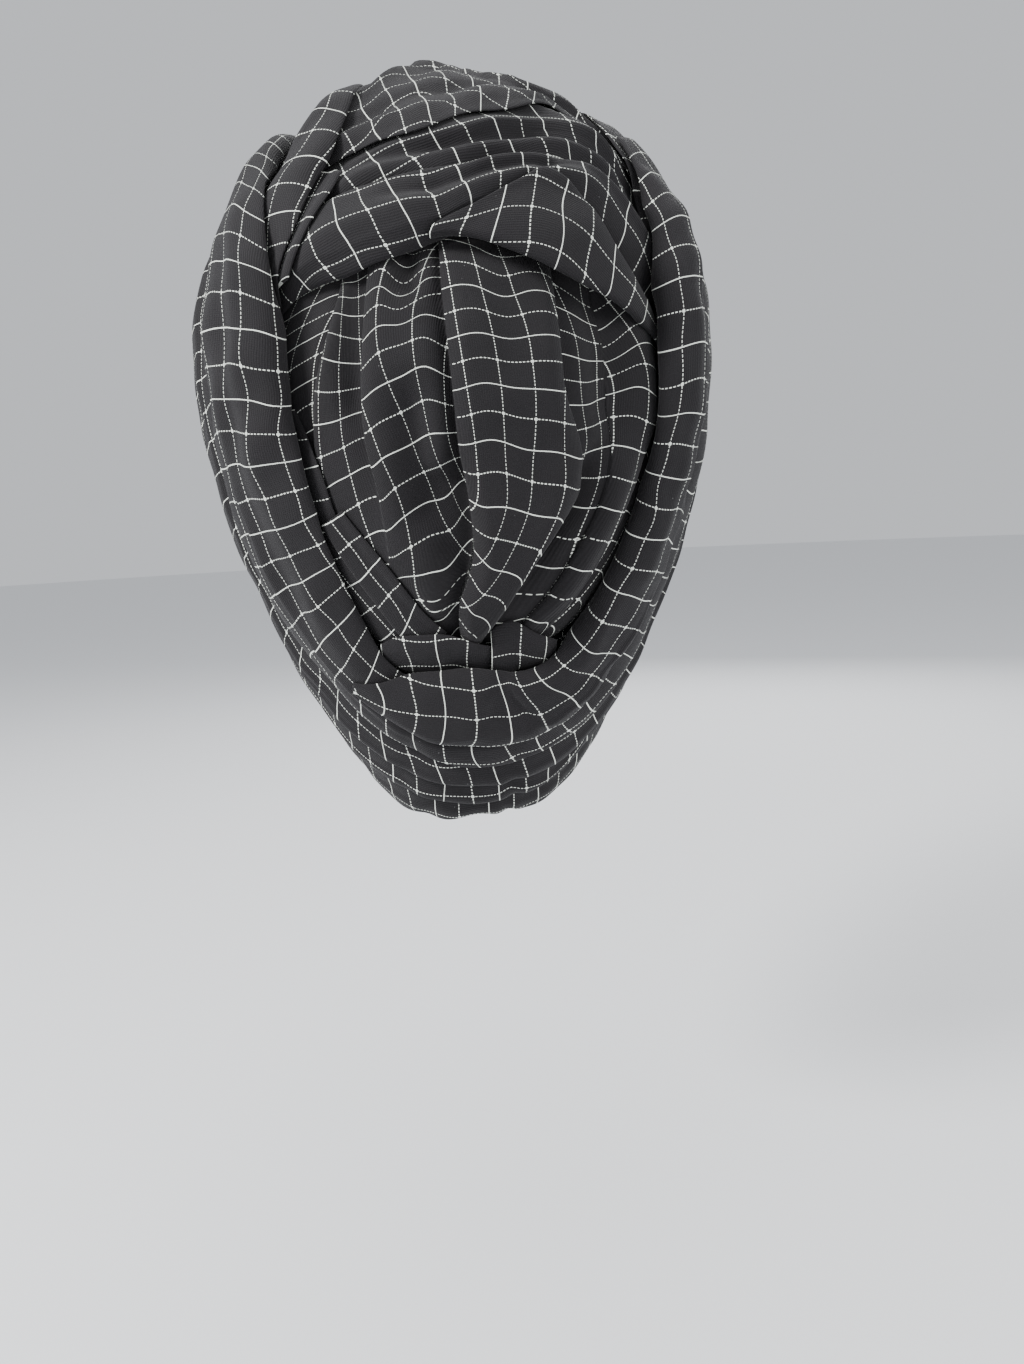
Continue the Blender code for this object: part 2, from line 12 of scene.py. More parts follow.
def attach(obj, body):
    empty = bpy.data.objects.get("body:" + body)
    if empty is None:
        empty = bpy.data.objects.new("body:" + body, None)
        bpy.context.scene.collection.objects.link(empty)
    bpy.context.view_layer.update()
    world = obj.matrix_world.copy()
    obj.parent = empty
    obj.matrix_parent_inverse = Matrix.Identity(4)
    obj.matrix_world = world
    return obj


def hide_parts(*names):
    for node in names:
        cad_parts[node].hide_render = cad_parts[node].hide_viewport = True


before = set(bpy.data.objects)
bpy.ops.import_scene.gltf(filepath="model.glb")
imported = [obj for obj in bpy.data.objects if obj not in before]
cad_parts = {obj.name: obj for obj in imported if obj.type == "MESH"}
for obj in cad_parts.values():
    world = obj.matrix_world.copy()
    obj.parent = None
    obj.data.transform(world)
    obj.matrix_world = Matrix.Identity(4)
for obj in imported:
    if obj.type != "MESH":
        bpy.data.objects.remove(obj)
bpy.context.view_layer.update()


def placed(name, data):
    """A new object in the scene."""
    thing = bpy.data.objects.new(name, data)
    bpy.context.scene.collection.objects.link(thing)
    return thing


def shaded(name, inputs):
    """A new material with these values in its shader."""
    material = bpy.data.materials.new(name)
    material.use_nodes = True
    for key, value in inputs.items():
        material.node_tree.nodes["Principled BSDF"].inputs[key].default_value = value
    return material


# Camera: behind the wearer at the height of the nape, looking a little down at the gathered back.
CAMERA_PLACE = (-0.0213, 0.5616, 0.0805)
CAMERA_PITCH = 0.1581
CAMERA_ROLL = -0.0511
CAMERA_LENS = 27.78
CAMERA_SENSOR = 36.0

looking = Vector((0.0, -math.cos(CAMERA_PITCH), -math.sin(CAMERA_PITCH)))
level_right = looking.cross(Vector((0.0, 0.0, 1.0))).normalized()
level_up = level_right.cross(looking)
camera_right = math.cos(CAMERA_ROLL) * level_right + math.sin(CAMERA_ROLL) * level_up
camera_up = math.cos(CAMERA_ROLL) * level_up - math.sin(CAMERA_ROLL) * level_right
camera = placed("camera", bpy.data.cameras.new("camera"))
camera.data.lens = CAMERA_LENS
camera.data.sensor_width = CAMERA_SENSOR
camera.matrix_world = (Matrix.Translation(CAMERA_PLACE)
                       @ Matrix((camera_right, camera_up, -looking)).transposed().to_4x4())
bpy.context.scene.camera = camera

# Studio: a plain pale floor below the wrap, a pale surround, and wide soft lamps from the upper left,
# the right and above, so that the folds shade softly and the deep grooves stay dark.
FLOOR_LEVEL = -0.290
FLOOR_RADIUS = 9.0
FLOOR_SIDES = 96
FLOOR_ROUGHNESS = 0.9
FLOOR_COLOUR = (0.80, 0.81, 0.825, 1.0)
SURROUND_COLOUR = (0.56, 0.575, 0.60, 1.0)
SURROUND_STRENGTH = 1.2
LAMPS = (
    # name, place, width, power in watts
    ("key_lamp", (1.25, 0.80, 1.05), 0.55, 47.0),
    ("fill_lamp", (-1.30, 0.90, 0.55), 1.2, 17.0),
    ("top_lamp", (0.10, -0.10, 1.50), 1.2, 5.5),
    ("front_lamp", (-0.50, -1.50, 0.80), 1.4, 16.0),
)
LAMP_AIM = Vector((0.0, 0.0, 0.11))

floor_mesh = bpy.data.meshes.new("floor")
floor_turns = [2.0 * math.pi * turn / FLOOR_SIDES for turn in range(FLOOR_SIDES)]
floor_mesh.from_pydata([(FLOOR_RADIUS * math.cos(a), FLOOR_RADIUS * math.sin(a), FLOOR_LEVEL)
                        for a in floor_turns], [], [tuple(range(FLOOR_SIDES))])
floor_mesh.materials.append(shaded("pale_floor", {"Base Color": FLOOR_COLOUR, "Roughness": FLOOR_ROUGHNESS}))
floor = placed("floor", floor_mesh)

world = bpy.data.worlds.new("studio")
world.use_nodes = True
world.node_tree.nodes["Background"].inputs["Color"].default_value = SURROUND_COLOUR
world.node_tree.nodes["Background"].inputs["Strength"].default_value = SURROUND_STRENGTH
bpy.context.scene.world = world

for lamp_name, lamp_place, lamp_width, lamp_power in LAMPS:
    lamp = placed(lamp_name, bpy.data.lights.new(lamp_name, "AREA"))
    lamp.data.shape = "DISK"
    lamp.data.size = lamp_width
    lamp.data.energy = lamp_power
    lamp.location = lamp_place
    lamp.rotation_euler = (LAMP_AIM - lamp.location).to_track_quat("-Z", "Y").to_euler()

# First turn: the wrap's plain inner layer, one thickness of the knit drawn smoothly over the head.
# It is open below in a slanted rim, low at the nape and high over the forehead, and carries all the rest.
WRAP_WIDTH = 0.260
BACK_DEPTH = 0.136
FRONT_DEPTH = 0.122
TOP_HEIGHT = 0.138
LOWER_HEIGHT = 0.255
WIDEST_LEVEL = 0.148
UPPER_FULLNESS = 2.1
LOWER_FULLNESS = 1.57
NAPE_SWEEP = 0.07
SWEEP_SOFTNESS = 0.1
WINDING_DEPTH = 0.020
RIM_LEVEL = 0.001
RIM_SLOPE = 0.86
RIM_COVER = 0.008
RIM_HALVINGS = 30
KNIT_WALL = 0.0016
FIRST_TURNS = 240
FIRST_RINGS = 96
FIRST_RIPPLE = 0.0007
FIRST_WAVES = ((17.0, 0.0, 1.0), (29.0, 1.1, 0.7))  # how many go round, where they start, how high
RING_CROWDING = 0.9
CROWN_REACH = 0.998
CENTRE = np.array([0.0, 0.0, WIDEST_LEVEL])
FAR_OUT = 3.0 * WRAP_WIDTH

# The print: lines across the cloth, solid and dotted in turn, and finer dotted lines along it
CROSS_LINE_STEP = 0.0138
LONG_LINE_STEP = 0.0156
LINE_WIDTH = 0.00048
FINE_WIDTH = 0.00034
DOT_STEP = 0.00172
DOT_LENGTH = 0.00105
LINE_SOFTNESS = 0.00007
KNOT_RADIUS = 0.00055
KNOT_THICKNESS = 0.4
KNIT_COLOUR = (0.0125, 0.0115, 0.0128)
PRINT_COLOUR = (0.80, 0.83, 0.76, 1.0)
KNIT_ROUGHNESS = 0.82
KNIT_SPECULAR = 0.2
KNIT_SHEEN = 0.07
SHEEN_ROUGHNESS = 0.45
RIB_STEP = 0.00105
RIB_HEIGHT = 0.35
LOOPS_PER_RIB = 1.3
LOOP_HEIGHT = 0.18
KNIT_BUMP = 0.00022
BUMP_STRENGTH = 0.7
# The knit's fuzz and its uneven dye, each as a noise's scale and detail and its share of the tone, and the
# lint: its scale, the share of places without any, its size, how much it covers and its colour
FUZZ = (1400.0, 2.0)
FUZZ_TONE = 0.55
DYE = (38.0, 4.0)
DYE_TONE = 0.5
LINT_SCALE = 120.0
LINT_FREE = 0.86
LINT_SIZE = 0.035
LINT_COVER = 0.3
LINT_COLOUR = (0.3, 0.3, 0.3, 1.0)


def direction(azimuth, elevation):
    """Unit vectors from the middle of the egg at these angles, in degrees."""
    a = np.radians(azimuth)
    e = np.radians(elevation)
    return np.stack([np.sin(a) * np.cos(e), np.cos(a) * np.cos(e), np.sin(e)], axis=-1)


def unit(vectors):
    """The same vectors at length one."""
    return vectors / np.linalg.norm(vectors, axis=-1, keepdims=True)


def egg_radius(d):
    """How far the egg shape that the outer folds reach lies from its middle along unit vectors."""
    lean = 0.5 * (np.hypot(d[..., 2], SWEEP_SOFTNESS) - d[..., 2])
    y = d[..., 1] - NAPE_SWEEP * lean
    across = np.hypot(2.0 * d[..., 0] / WRAP_WIDTH, y / np.where(y > 0, BACK_DEPTH, FRONT_DEPTH))
    height = np.where(d[..., 2] > 0, TOP_HEIGHT, LOWER_HEIGHT)
    fullness = np.where(d[..., 2] > 0, UPPER_FULLNESS, LOWER_FULLNESS)
    return (across ** fullness + np.abs(d[..., 2] / height) ** fullness) ** (-1.0 / fullness)


laid_cloth = []


def cloth_top(d):
    """The radius of the outermost cloth laid so far along unit vectors, or of the bare first turn."""
    found = (egg_radius(d) - WINDING_DEPTH).reshape(-1)
    centre = Vector(CENTRE)
    for i, one in enumerate(d.reshape(-1, 3).tolist()):
        way = Vector(one)
        start = centre + way * FAR_OUT
        for tree in laid_cloth:
            hit = tree.ray_cast(start, -way, FAR_OUT)
            if hit[0] is not None:
                found[i] = max(found[i], FAR_OUT - hit[3])
    return found.reshape(d.shape[:-1])


def added(tree, kind, inputs=(), **settings):
    """The outputs of a new node with these settings, its inputs linked to sockets or set to values."""
    node = tree.nodes.new(kind)
    for name, value in settings.items():
        setattr(node, name, value)
    for key, value in dict(inputs).items():
        if isinstance(value, bpy.types.NodeSocket):
            tree.links.new(value, node.inputs[key])
        else:
            node.inputs[key].default_value = value
    return node.outputs


def joined(tree, kind, *values):
    """What a math node makes of sockets or numbers."""
    return added(tree, "ShaderNodeMath", enumerate(values), operation=kind)[0]


def within(tree, distance, reach, softness):
    """One where a distance is inside its reach, falling softly to nothing outside it."""
    return added(tree, "ShaderNodeMapRange", {
        "Value": distance, "From Min": joined(tree, "ADD", reach, softness),
        "From Max": joined(tree, "SUBTRACT", reach, softness)}, interpolation_type="SMOOTHSTEP")[0]


def nearest_line(tree, value, step):
    """The number of the nearest line of a ruled set, and how far away it is."""
    scaled = joined(tree, "DIVIDE", value, step)
    number = joined(tree, "ROUND", scaled)
    gone = joined(tree, "ABSOLUTE", joined(tree, "SUBTRACT", scaled, number))
    return number, joined(tree, "MULTIPLY", gone, step)


def shader_group(name, numbers, results):
    """A shader node group that takes a place on the flat cloth and these numbers, and its input sockets."""
    group = bpy.data.node_groups.new(name, "ShaderNodeTree")
    group.interface.new_socket("Cloth", in_out="INPUT", socket_type="NodeSocketVector")
    for number, value in numbers.items():
        socket = group.interface.new_socket(number, in_out="INPUT", socket_type="NodeSocketFloat")
        socket.default_value = value
    for result in results:
        group.interface.new_socket(result, in_out="OUTPUT", socket_type="NodeSocketFloat")
    return group, added(group, "NodeGroupInput")


def make_print_group():
    """The windowpane print as a mask, from the place on the flat cloth."""
    group, given = shader_group("windowpane_print", {
        "Cross Step": CROSS_LINE_STEP, "Long Step": LONG_LINE_STEP, "Line Width": LINE_WIDTH,
        "Fine Width": FINE_WIDTH, "Dot Step": DOT_STEP, "Dot Length": DOT_LENGTH, "Softness": LINE_SOFTNESS,
        "Knot Radius": KNOT_RADIUS}, ["Print"])
    place = added(group, "ShaderNodeSeparateXYZ", {0: given["Cloth"]})

    def near(distance, name, share):
        return within(group, distance, joined(group, "MULTIPLY", given[name], share), given["Softness"])

    def dots(value):
        return near(nearest_line(group, value, given["Dot Step"])[1], "Dot Length", 0.5)

    cross_number, cross_away = nearest_line(group, place[0], given["Cross Step"])
    long_away = nearest_line(group, place[1], given["Long Step"])[1]
    dotted = joined(group, "FLOORED_MODULO", cross_number, 2.0)
    gaps = joined(group, "MULTIPLY", dotted, joined(group, "SUBTRACT", 1.0, dots(place[1])))
    crossing = joined(group, "MULTIPLY", near(cross_away, "Line Width", 0.5),
                      joined(group, "SUBTRACT", 1.0, gaps))
    along = joined(group, "MULTIPLY", near(long_away, "Fine Width", 0.5), dots(place[0]))
    knot_away = joined(group, "SQRT", joined(group, "ADD", joined(group, "MULTIPLY", cross_away, cross_away),
                                             joined(group, "MULTIPLY", long_away, long_away)))
    from_ring = joined(group, "ABSOLUTE", joined(group, "SUBTRACT", knot_away, given["Knot Radius"]))
    knot = joined(group, "MULTIPLY", near(from_ring, "Knot Radius", KNOT_THICKNESS), dotted)
    added(group, "NodeGroupOutput", {
        "Print": joined(group, "MAXIMUM", joined(group, "MAXIMUM", crossing, along), knot)})
    return group


def make_knit_group():
    """The knit's fine ribs and fuzz as a height, its uneven dye as a tone, and stray lint as a mask."""
    group, given = shader_group("charcoal_knit", {"Rib Step": RIB_STEP}, ["Height", "Tone", "Lint"])
    place = added(group, "ShaderNodeSeparateXYZ", {0: given["Cloth"]})

    def waves(value, crowding, height):
        turns = joined(group, "DIVIDE", crowding * 2.0 * math.pi, given["Rib Step"])
        wave = joined(group, "SINE", joined(group, "MULTIPLY", value, turns))
        return joined(group, "MULTIPLY", wave, height)

    def noise(scale, detail):
        return added(group, "ShaderNodeTexNoise", {"Scale": scale, "Detail": detail,
                                                   "Vector": given["Cloth"]})["Fac"]

    def tone(value, share):
        return joined(group, "MULTIPLY", joined(group, "SUBTRACT", value, 0.5), share)

    fuzz = noise(*FUZZ)
    knitted = joined(group, "ADD", waves(place[1], 1.0, RIB_HEIGHT),
                     waves(place[0], LOOPS_PER_RIB, LOOP_HEIGHT))
    uneven = joined(group, "ADD", tone(noise(*DYE), DYE_TONE), tone(fuzz, FUZZ_TONE))
    specks = added(group, "ShaderNodeTexVoronoi", {"Scale": LINT_SCALE, "Vector": given["Cloth"]})
    chance = added(group, "ShaderNodeSeparateColor", {0: specks["Color"]})[0]
    lint = joined(group, "MULTIPLY", joined(group, "GREATER_THAN", chance, LINT_FREE),
                  joined(group, "LESS_THAN", specks["Distance"], LINT_SIZE))
    added(group, "NodeGroupOutput", {"Height": joined(group, "ADD", knitted, fuzz),
                                     "Tone": joined(group, "ADD", uneven, 1.0), "Lint": lint})
    return group


def make_printed_knit(name, print_group, knit_group):
    """Charcoal knit with its print, laid by each piece's own flat-cloth map."""
    material = shaded(name, {"Roughness": KNIT_ROUGHNESS, "Specular IOR Level": KNIT_SPECULAR,
                             "Sheen Weight": KNIT_SHEEN, "Sheen Roughness": SHEEN_ROUGHNESS})
    tree = material.node_tree
    shader = tree.nodes["Principled BSDF"].inputs
    flat = added(tree, "ShaderNodeUVMap", uv_map="cloth")[0]
    pattern, knit = (added(tree, "ShaderNodeGroup", {"Cloth": flat}, node_tree=one)
                     for one in (print_group, knit_group))
    toned = added(tree, "ShaderNodeVectorMath", {0: KNIT_COLOUR, "Scale": knit["Tone"]},
                  operation="SCALE")[0]
    cover = joined(tree, "MULTIPLY", knit["Lint"], LINT_COVER)
    for factor, colour in ((cover, LINT_COLOUR), (pattern["Print"], PRINT_COLOUR)):
        toned = added(tree, "ShaderNodeMix", {"Factor": factor, "A": toned, "B": colour},
                      data_type="RGBA")["Result"]
    tree.links.new(toned, shader["Base Color"])
    raised = added(tree, "ShaderNodeBump", {"Distance": KNIT_BUMP, "Strength": BUMP_STRENGTH,
                                            "Height": knit["Height"]})[0]
    tree.links.new(raised, shader["Normal"])
    return material


printed_knit = make_printed_knit("printed_knit", make_print_group(), make_knit_group())


def cloth_object(name, points, faces, places):
    """A closed piece of printed cloth: its points, its faces, and the place on the flat cloth of each corner
    of each face in turn. Its faces are turned outwards, and later folds rest on it."""
    mesh = bpy.data.meshes.new(name)
    mesh.from_pydata(points.reshape(-1, 3).tolist(), [], faces)
    mesh.uv_layers.new(name="cloth").data.foreach_set("uv", places.reshape(-1).astype(np.float32))
    mesh.calc_loop_triangles()
    triangles = np.zeros(len(mesh.loop_triangles) * 3, dtype=np.int32)
    mesh.loop_triangles.foreach_get("vertices", triangles)
    corners = points.reshape(-1, 3)[triangles.reshape(-1, 3)]
    if np.einsum("ij,ij->", corners[:, 0], np.cross(corners[:, 1], corners[:, 2])) < 0.0:
        mesh.flip_normals()
    mesh.shade_smooth()
    mesh.materials.append(printed_knit)
    piece = placed(name, mesh)
    laid_cloth.append(BVHTree.FromPolygons(points.reshape(-1, 3).tolist(), triangles.reshape(-1, 3).tolist()))
    return piece


def settle_in(piece, *nodes):
    """The piece, already made of the printed knit, stands for its solid, which is hidden, and moves with the
    wrap.
    """
    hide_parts(*nodes)
    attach(piece, "root")


def rim_elevation(azimuth):
    """How far down the first turn reaches at each azimuth, just above the slanted rim."""
    low = np.full(azimuth.shape, -85.0)
    high = np.zeros(azimuth.shape)
    for _ in range(RIM_HALVINGS):
        middle = 0.5 * (low + high)
        d = direction(azimuth, middle)
        point = CENTRE + d * (egg_radius(d) - WINDING_DEPTH)[..., None]
        outside = point[..., 2] < RIM_LEVEL + RIM_COVER - RIM_SLOPE * point[..., 1]
        low = np.where(outside, middle, low)
        high = np.where(outside, high, middle)
    return high


def ruled_length(length):
    """The nearest length that holds whole pairs of a solid and a dotted line, for turns that close."""
    return max(1, round(length / (2.0 * CROSS_LINE_STEP))) * 2.0 * CROSS_LINE_STEP


def first_turn():
    """An open dome with an outer and an inner face, rounded over at the rim, with faint ripples."""
    azimuth = np.arange(FIRST_TURNS) * 360.0 / FIRST_TURNS
    rim = rim_elevation(azimuth)
    climb = np.linspace(0.0, 1.0, FIRST_RINGS) ** RING_CROWDING * CROWN_REACH
    elevation = rim[:, None] + (90.0 - rim)[:, None] * climb[None, :]
    d = direction(np.repeat(azimuth[:, None], FIRST_RINGS, 1), elevation)
    fade = np.sin(math.pi * climb)[None, :]
    wave = sum(height * np.sin(np.radians(azimuth) * waves + start)
               for waves, start, height in FIRST_WAVES)[:, None]
    outer = egg_radius(d) - WINDING_DEPTH + FIRST_RIPPLE * wave * fade
    inner = outer - KNIT_WALL
    upward = CENTRE + d * outer[..., None]
    inward = CENTRE + d * inner[..., None]
    ring = np.concatenate([inward[:, ::-1], upward], axis=1)
    count = ring.shape[1]
    step = np.linalg.norm(np.diff(upward, axis=1), axis=2)
    walked = np.concatenate([np.zeros((FIRST_TURNS, 1)), np.cumsum(step, axis=1)], axis=1)
    across = np.concatenate([-walked[:, ::-1], walked], axis=1) + 0.5 * LONG_LINE_STEP
    girth = ruled_length(2.0 * math.pi * float(outer[:, FIRST_RINGS // 3].mean()))
    along = np.arange(FIRST_TURNS + 1) * girth / FIRST_TURNS
    faces = []
    places = []
    for turn in range(FIRST_TURNS):
        beyond = (turn + 1) % FIRST_TURNS
        for k in range(count - 1):
            faces.append((turn * count + k, turn * count + k + 1, beyond * count + k + 1, beyond * count + k))
            places.append(((along[turn], across[turn, k]), (along[turn], across[turn, k + 1]),
                           (along[turn + 1], across[beyond, k + 1]), (along[turn + 1], across[beyond, k])))
    crown = CENTRE + np.array([0.0, 0.0, 1.0]) * (egg_radius(np.array([0.0, 0.0, 1.0])) - WINDING_DEPTH)
    points = np.concatenate([ring.reshape(-1, 3), [crown - [0.0, 0.0, KNIT_WALL], crown]])
    pole = FIRST_TURNS * count
    for turn in range(FIRST_TURNS):
        beyond = (turn + 1) % FIRST_TURNS
        for tip, k in ((pole, 0), (pole + 1, count - 1)):
            faces.append((turn * count + k, beyond * count + k, tip) if k == 0
                         else (beyond * count + k, turn * count + k, tip))
            places += [(along[turn], across[turn, k])] * 3
    return points, faces, np.concatenate([np.array(p).reshape(-1, 2) for p in places])


first_points, first_faces, first_places = first_turn()
first_cloth = cloth_object("first_turn_cloth", first_points, first_faces, first_places)
settle_in(first_cloth, "first_turn")

# Hem: the first turn's edge is turned in and sewn with a row of short stitches just above the rim.
STITCH_STEP = 0.0032
STITCH_LENGTH = 0.0021
STITCH_RADIUS = 0.00032
HEM_HEIGHT = 0.007
HEM_RISE = 0.0001
STITCH_SIDES = 8
THREAD_COLOUR = (0.03, 0.03, 0.032, 1.0)
THREAD_ROUGHNESS = 0.6


def hem_line():
    """A closed line on the inside of the first turn, one hem's height above its rim."""
    azimuth = np.arange(FIRST_TURNS) * 360.0 / FIRST_TURNS
    start = rim_elevation(azimuth)
    radius = egg_radius(direction(azimuth, start))
    d = direction(azimuth, start + np.degrees(HEM_HEIGHT / radius))
    inside = egg_radius(d) - WINDING_DEPTH - KNIT_WALL - HEM_RISE
    curve = bpy.data.curves.new("hem_line", "CURVE")
    curve.dimensions = "3D"
    spline = curve.splines.new("POLY")
    spline.points.add(FIRST_TURNS - 1)
    points = np.concatenate([CENTRE + d * inside[:, None], np.ones((FIRST_TURNS, 1))], axis=1)
    spline.points.foreach_set("co", points.reshape(-1))
    spline.use_cyclic_u = True
    return placed("hem_line", curve)


def stitch_nodes(thread):
    """Stitches laid end to end along a curve, each a short rounded length of thread."""
    tree = bpy.data.node_groups.new("hem_stitches", "GeometryNodeTree")
    tree.interface.new_socket("Geometry", in_out="INPUT", socket_type="NodeSocketGeometry")
    for name in ("Step", "Length", "Radius"):
        tree.interface.new_socket(name, in_out="INPUT", socket_type="NodeSocketFloat")
    tree.interface.new_socket("Geometry", in_out="OUTPUT", socket_type="NodeSocketGeometry")
    given = added(tree, "NodeGroupInput")
    line = added(tree, "GeometryNodeResampleCurve", {"Curve": given["Geometry"], "Length": given["Step"]},
                 mode="LENGTH")[0]
    stitch = added(tree, "GeometryNodeMeshCylinder", {
        "Vertices": STITCH_SIDES, "Side Segments": 1, "Radius": given["Radius"],
        "Depth": given["Length"]})["Mesh"]
    tangent = added(tree, "GeometryNodeInputTangent")[0]
    turned = added(tree, "FunctionNodeAlignEulerToVector", {"Vector": tangent}, axis="Z")[0]
    laid = added(tree, "GeometryNodeInstanceOnPoints", {"Points": line, "Instance": stitch,
                                                        "Rotation": turned})[0]
    real = added(tree, "GeometryNodeRealizeInstances", {0: laid})[0]
    painted = added(tree, "GeometryNodeSetMaterial", {"Geometry": real, "Material": thread})[0]
    added(tree, "NodeGroupOutput", {0: painted})
    return tree


thread = shaded("charcoal_thread", {"Base Color": THREAD_COLOUR, "Roughness": THREAD_ROUGHNESS})
hem_path = hem_line()
sewing = hem_path.modifiers.new("hem_stitches", "NODES")
sewing.node_group = stitch_nodes(thread)
stitch_sizes = {"Step": STITCH_STEP, "Length": STITCH_LENGTH, "Radius": STITCH_RADIUS}
for item in sewing.node_group.interface.items_tree:
    if item.in_out == "INPUT" and item.name in stitch_sizes:
        sewing[item.identifier] = stitch_sizes[item.name]
settled = hem_path.evaluated_get(bpy.context.evaluated_depsgraph_get())
hem_mesh = bpy.data.meshes.new_from_object(settled)
hem_stitches = placed("hem_stitches", hem_mesh)
bpy.data.objects.remove(hem_path)
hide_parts("first_turn")
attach(hem_stitches, "root")

# Crown panel: the flat width of the knit drawn up over the back of the crown. It is gathered into pleats
# under the top folds and again at the nape, where it is held between the side folds.
PANEL_STEP = 0.0014
PANEL_WALL = 0.0014
PANEL_SINK = 0.0045
PANEL_GAP = 0.0006
# Columns: azimuth and elevation of the left edge, the same of the right edge, then how far the middle
# and the edges stand out from the egg, in hundredths of the winding depth
PANEL_SECTIONS = (
    (44, 22, -60, 18, -90, -92), (42, 11, -58, 7, -55, -92), (41, -2, -57, -4, -25, -92),
    (40, -13, -56, -15, -15, -92), (38, -25, -53, -26, -20, -92), (32, -36, -47, -38, -35, -92),
    (22, -45, -36, -48, -60, -92), (10, -51, -20, -53, -80, -92), (4, -56, -10, -56, -92, -92),
)
# The creases from left to right: their places across the panel, in thousandths, at even levels from top to
# bottom, their heights in millimetres there, how far the raised side reaches, its lip, and which side it is
CREASES = (
    ((286, 286, 270, 244, 208, 189, 171, 155, 140, 140, 140),
     (0, 1.5, 3, 3.4, 3.2, 2.8, 1.8, 0.6, 0, 0, 0), 0.014, 0.0018, 1),
    ((345, 336, 328, 322, 312, 310, 321, 315, 280, 265, 265),
     (0.5, 2.5, 4.5, 4.8, 4.2, 2.4, 0.8, 0, 0, 0, 0), 0.022, 0.0028, 1),
    ((440, 441, 443, 448, 452, 456, 468, 469, 432, 411, 400),
     (2, 4.5, 5.5, 6, 6.2, 6.8, 8.5, 8.5, 7, 4.5, 1.5), 0.08, 0.0022, 1),
    ((600, 602, 605, 607, 612, 640, 654, 591, 537, 470, 440),
     (0, 2, 4.5, 5.2, 4.6, 2.4, 5, 6.5, 6, 4, 1.5), 0.06, 0.0022, -1),
    ((680, 683, 691, 707, 712, 712, 700, 665, 621, 560, 520),
     (0, 0, 0, 0, 0, 0.6, 2.2, 3.4, 3.6, 2.6, 0.8), 0.022, 0.0022, 1),
    ((975, 970, 960, 935, 900, 860, 815, 775, 735, 690, 650),
     (0, 0, 0, 0, 0.8, 2.2, 3.2, 3.2, 2.6, 1.6, 0.4), 0.024, 0.0018, -1),
)
CREASE_GROOVE = 0.95
GROOVE_WIDTH = 0.0060
SOFT_DEPTH = 1.45
# Soft ridges and hollows: level and share where each starts and ends, in thousandths, then the height and
# the half width in millimetres
SOFT_FOLDS = (
    (20, 415, 240, 428, 3.5, 4.5), (30, 385, 250, 405, -4.5, 4.5), (0, 350, 200, 370, 2, 6),
    (120, 300, 500, 285, -2.6, 5), (120, 245, 480, 150, -2, 7), (100, 680, 540, 712, -5.5, 12),
    (100, 800, 580, 850, 3.5, 13), (220, 425, 560, 440, 2.4, 5), (340, 390, 720, 392, -4.2, 6),
    (440, 355, 800, 340, 1.8, 7), (520, 425, 740, 430, -4, 6), (600, 395, 860, 370, 2.2, 6),
    (460, 700, 880, 540, -3.8, 6), (500, 775, 860, 640, 2.6, 7), (180, 530, 400, 530, -1.4, 7),
    (100, 490, 500, 500, 0.9, 7), (480, 560, 800, 520, -1.2, 7), (150, 80, 600, 90, 2, 12),
)
# Each strip's places for the print, as shares of its width. Then the number, in hundredths, of the print
# line that lies at each place, at even levels from top to bottom: of the lines across the cloth, then of
# those along it
PRINT_PLACES = ((0.0, 0.5, 1.0), (0.0, 0.5, 1.0), (0.0, 0.25, 0.5, 0.75, 1.0), (0.0, 0.25, 0.5, 0.75, 1.0),
                (0.0, 0.5, 1.0), (0.0, 0.33, 0.67, 1.0), (0.0, 1.0))
PANEL_CROSS_LINES = (
    (-397, -505, -604, -646, -544, -417, -411, -421, -494, -652, -740, -204, -287, -360, -393, -398,
     -268, -333, -400, -382, -216, -48, 114, -159, -279),
    (-223, -279, -284, -272, -239, -154, -132, -110, -160, -260, -236, -19, -61, -130, -123, -117, -62,
     -116, -165, -164, -4, 116, 215, 20, -117),
    (-52, -46, 34, 97, 84, 101, 167, 189, 118, 209, 245, 163, 159, 113, 153, 153, 143, 99, 71, 54, 209,
     276, 317, 198, 44),
    (111, 184, 280, 352, 326, 311, 392, 444, 461, 489, 458, 377, 395, 375, 395, 399, 348, 315, 306, 284,
     411, 425, 428, 375, 206),
    (265, 370, 462, 504, 501, 521, 574, 617, 648, 679, 651, 608, 636, 616, 608, 597, 544, 533, 557, 569,
     607, 575, 556, 548, 368),
    (412, 514, 623, 632, 664, 722, 732, 775, 803, 842, 856, 824, 844, 806, 790, 758, 747, 760, 771, 775,
     760, 731, 709, 719, 529),
    (560, 653, 763, 765, 835, 907, 894, 949, 979, 1002, 1070, 1025, 1020, 985, 963, 912, 938, 939, 944,
     952, 929, 897, 879, 884, 691),
    (715, 808, 913, 911, 983, 1060, 1075, 1131, 1164, 1169, 1233, 1244, 1207, 1184, 1153, 1089, 1126,
     1126, 1120, 1140, 1124, 1085, 1059, 1046, 853),
    (878, 971, 1062, 1055, 1117, 1190, 1264, 1295, 1319, 1337, 1391, 1451, 1421, 1397, 1352, 1284, 1310,
     1314, 1318, 1333, 1320, 1292, 1233, 1246, 1030),
    (1045, 1131, 1214, 1201, 1258, 1319, 1447, 1467, 1491, 1525, 1562, 1664, 1634, 1602, 1553, 1493,
     1494, 1506, 1516, 1532, 1513, 1483, 1382, 1454, 1214),
    (1214, 1291, 1367, 1349, 1399, 1448, 1627, 1643, 1669, 1705, 1735, 1880, 1846, 1804, 1755, 1704,
     1679, 1698, 1715, 1739, 1708, 1650, 1540, 1663, 1397),
)
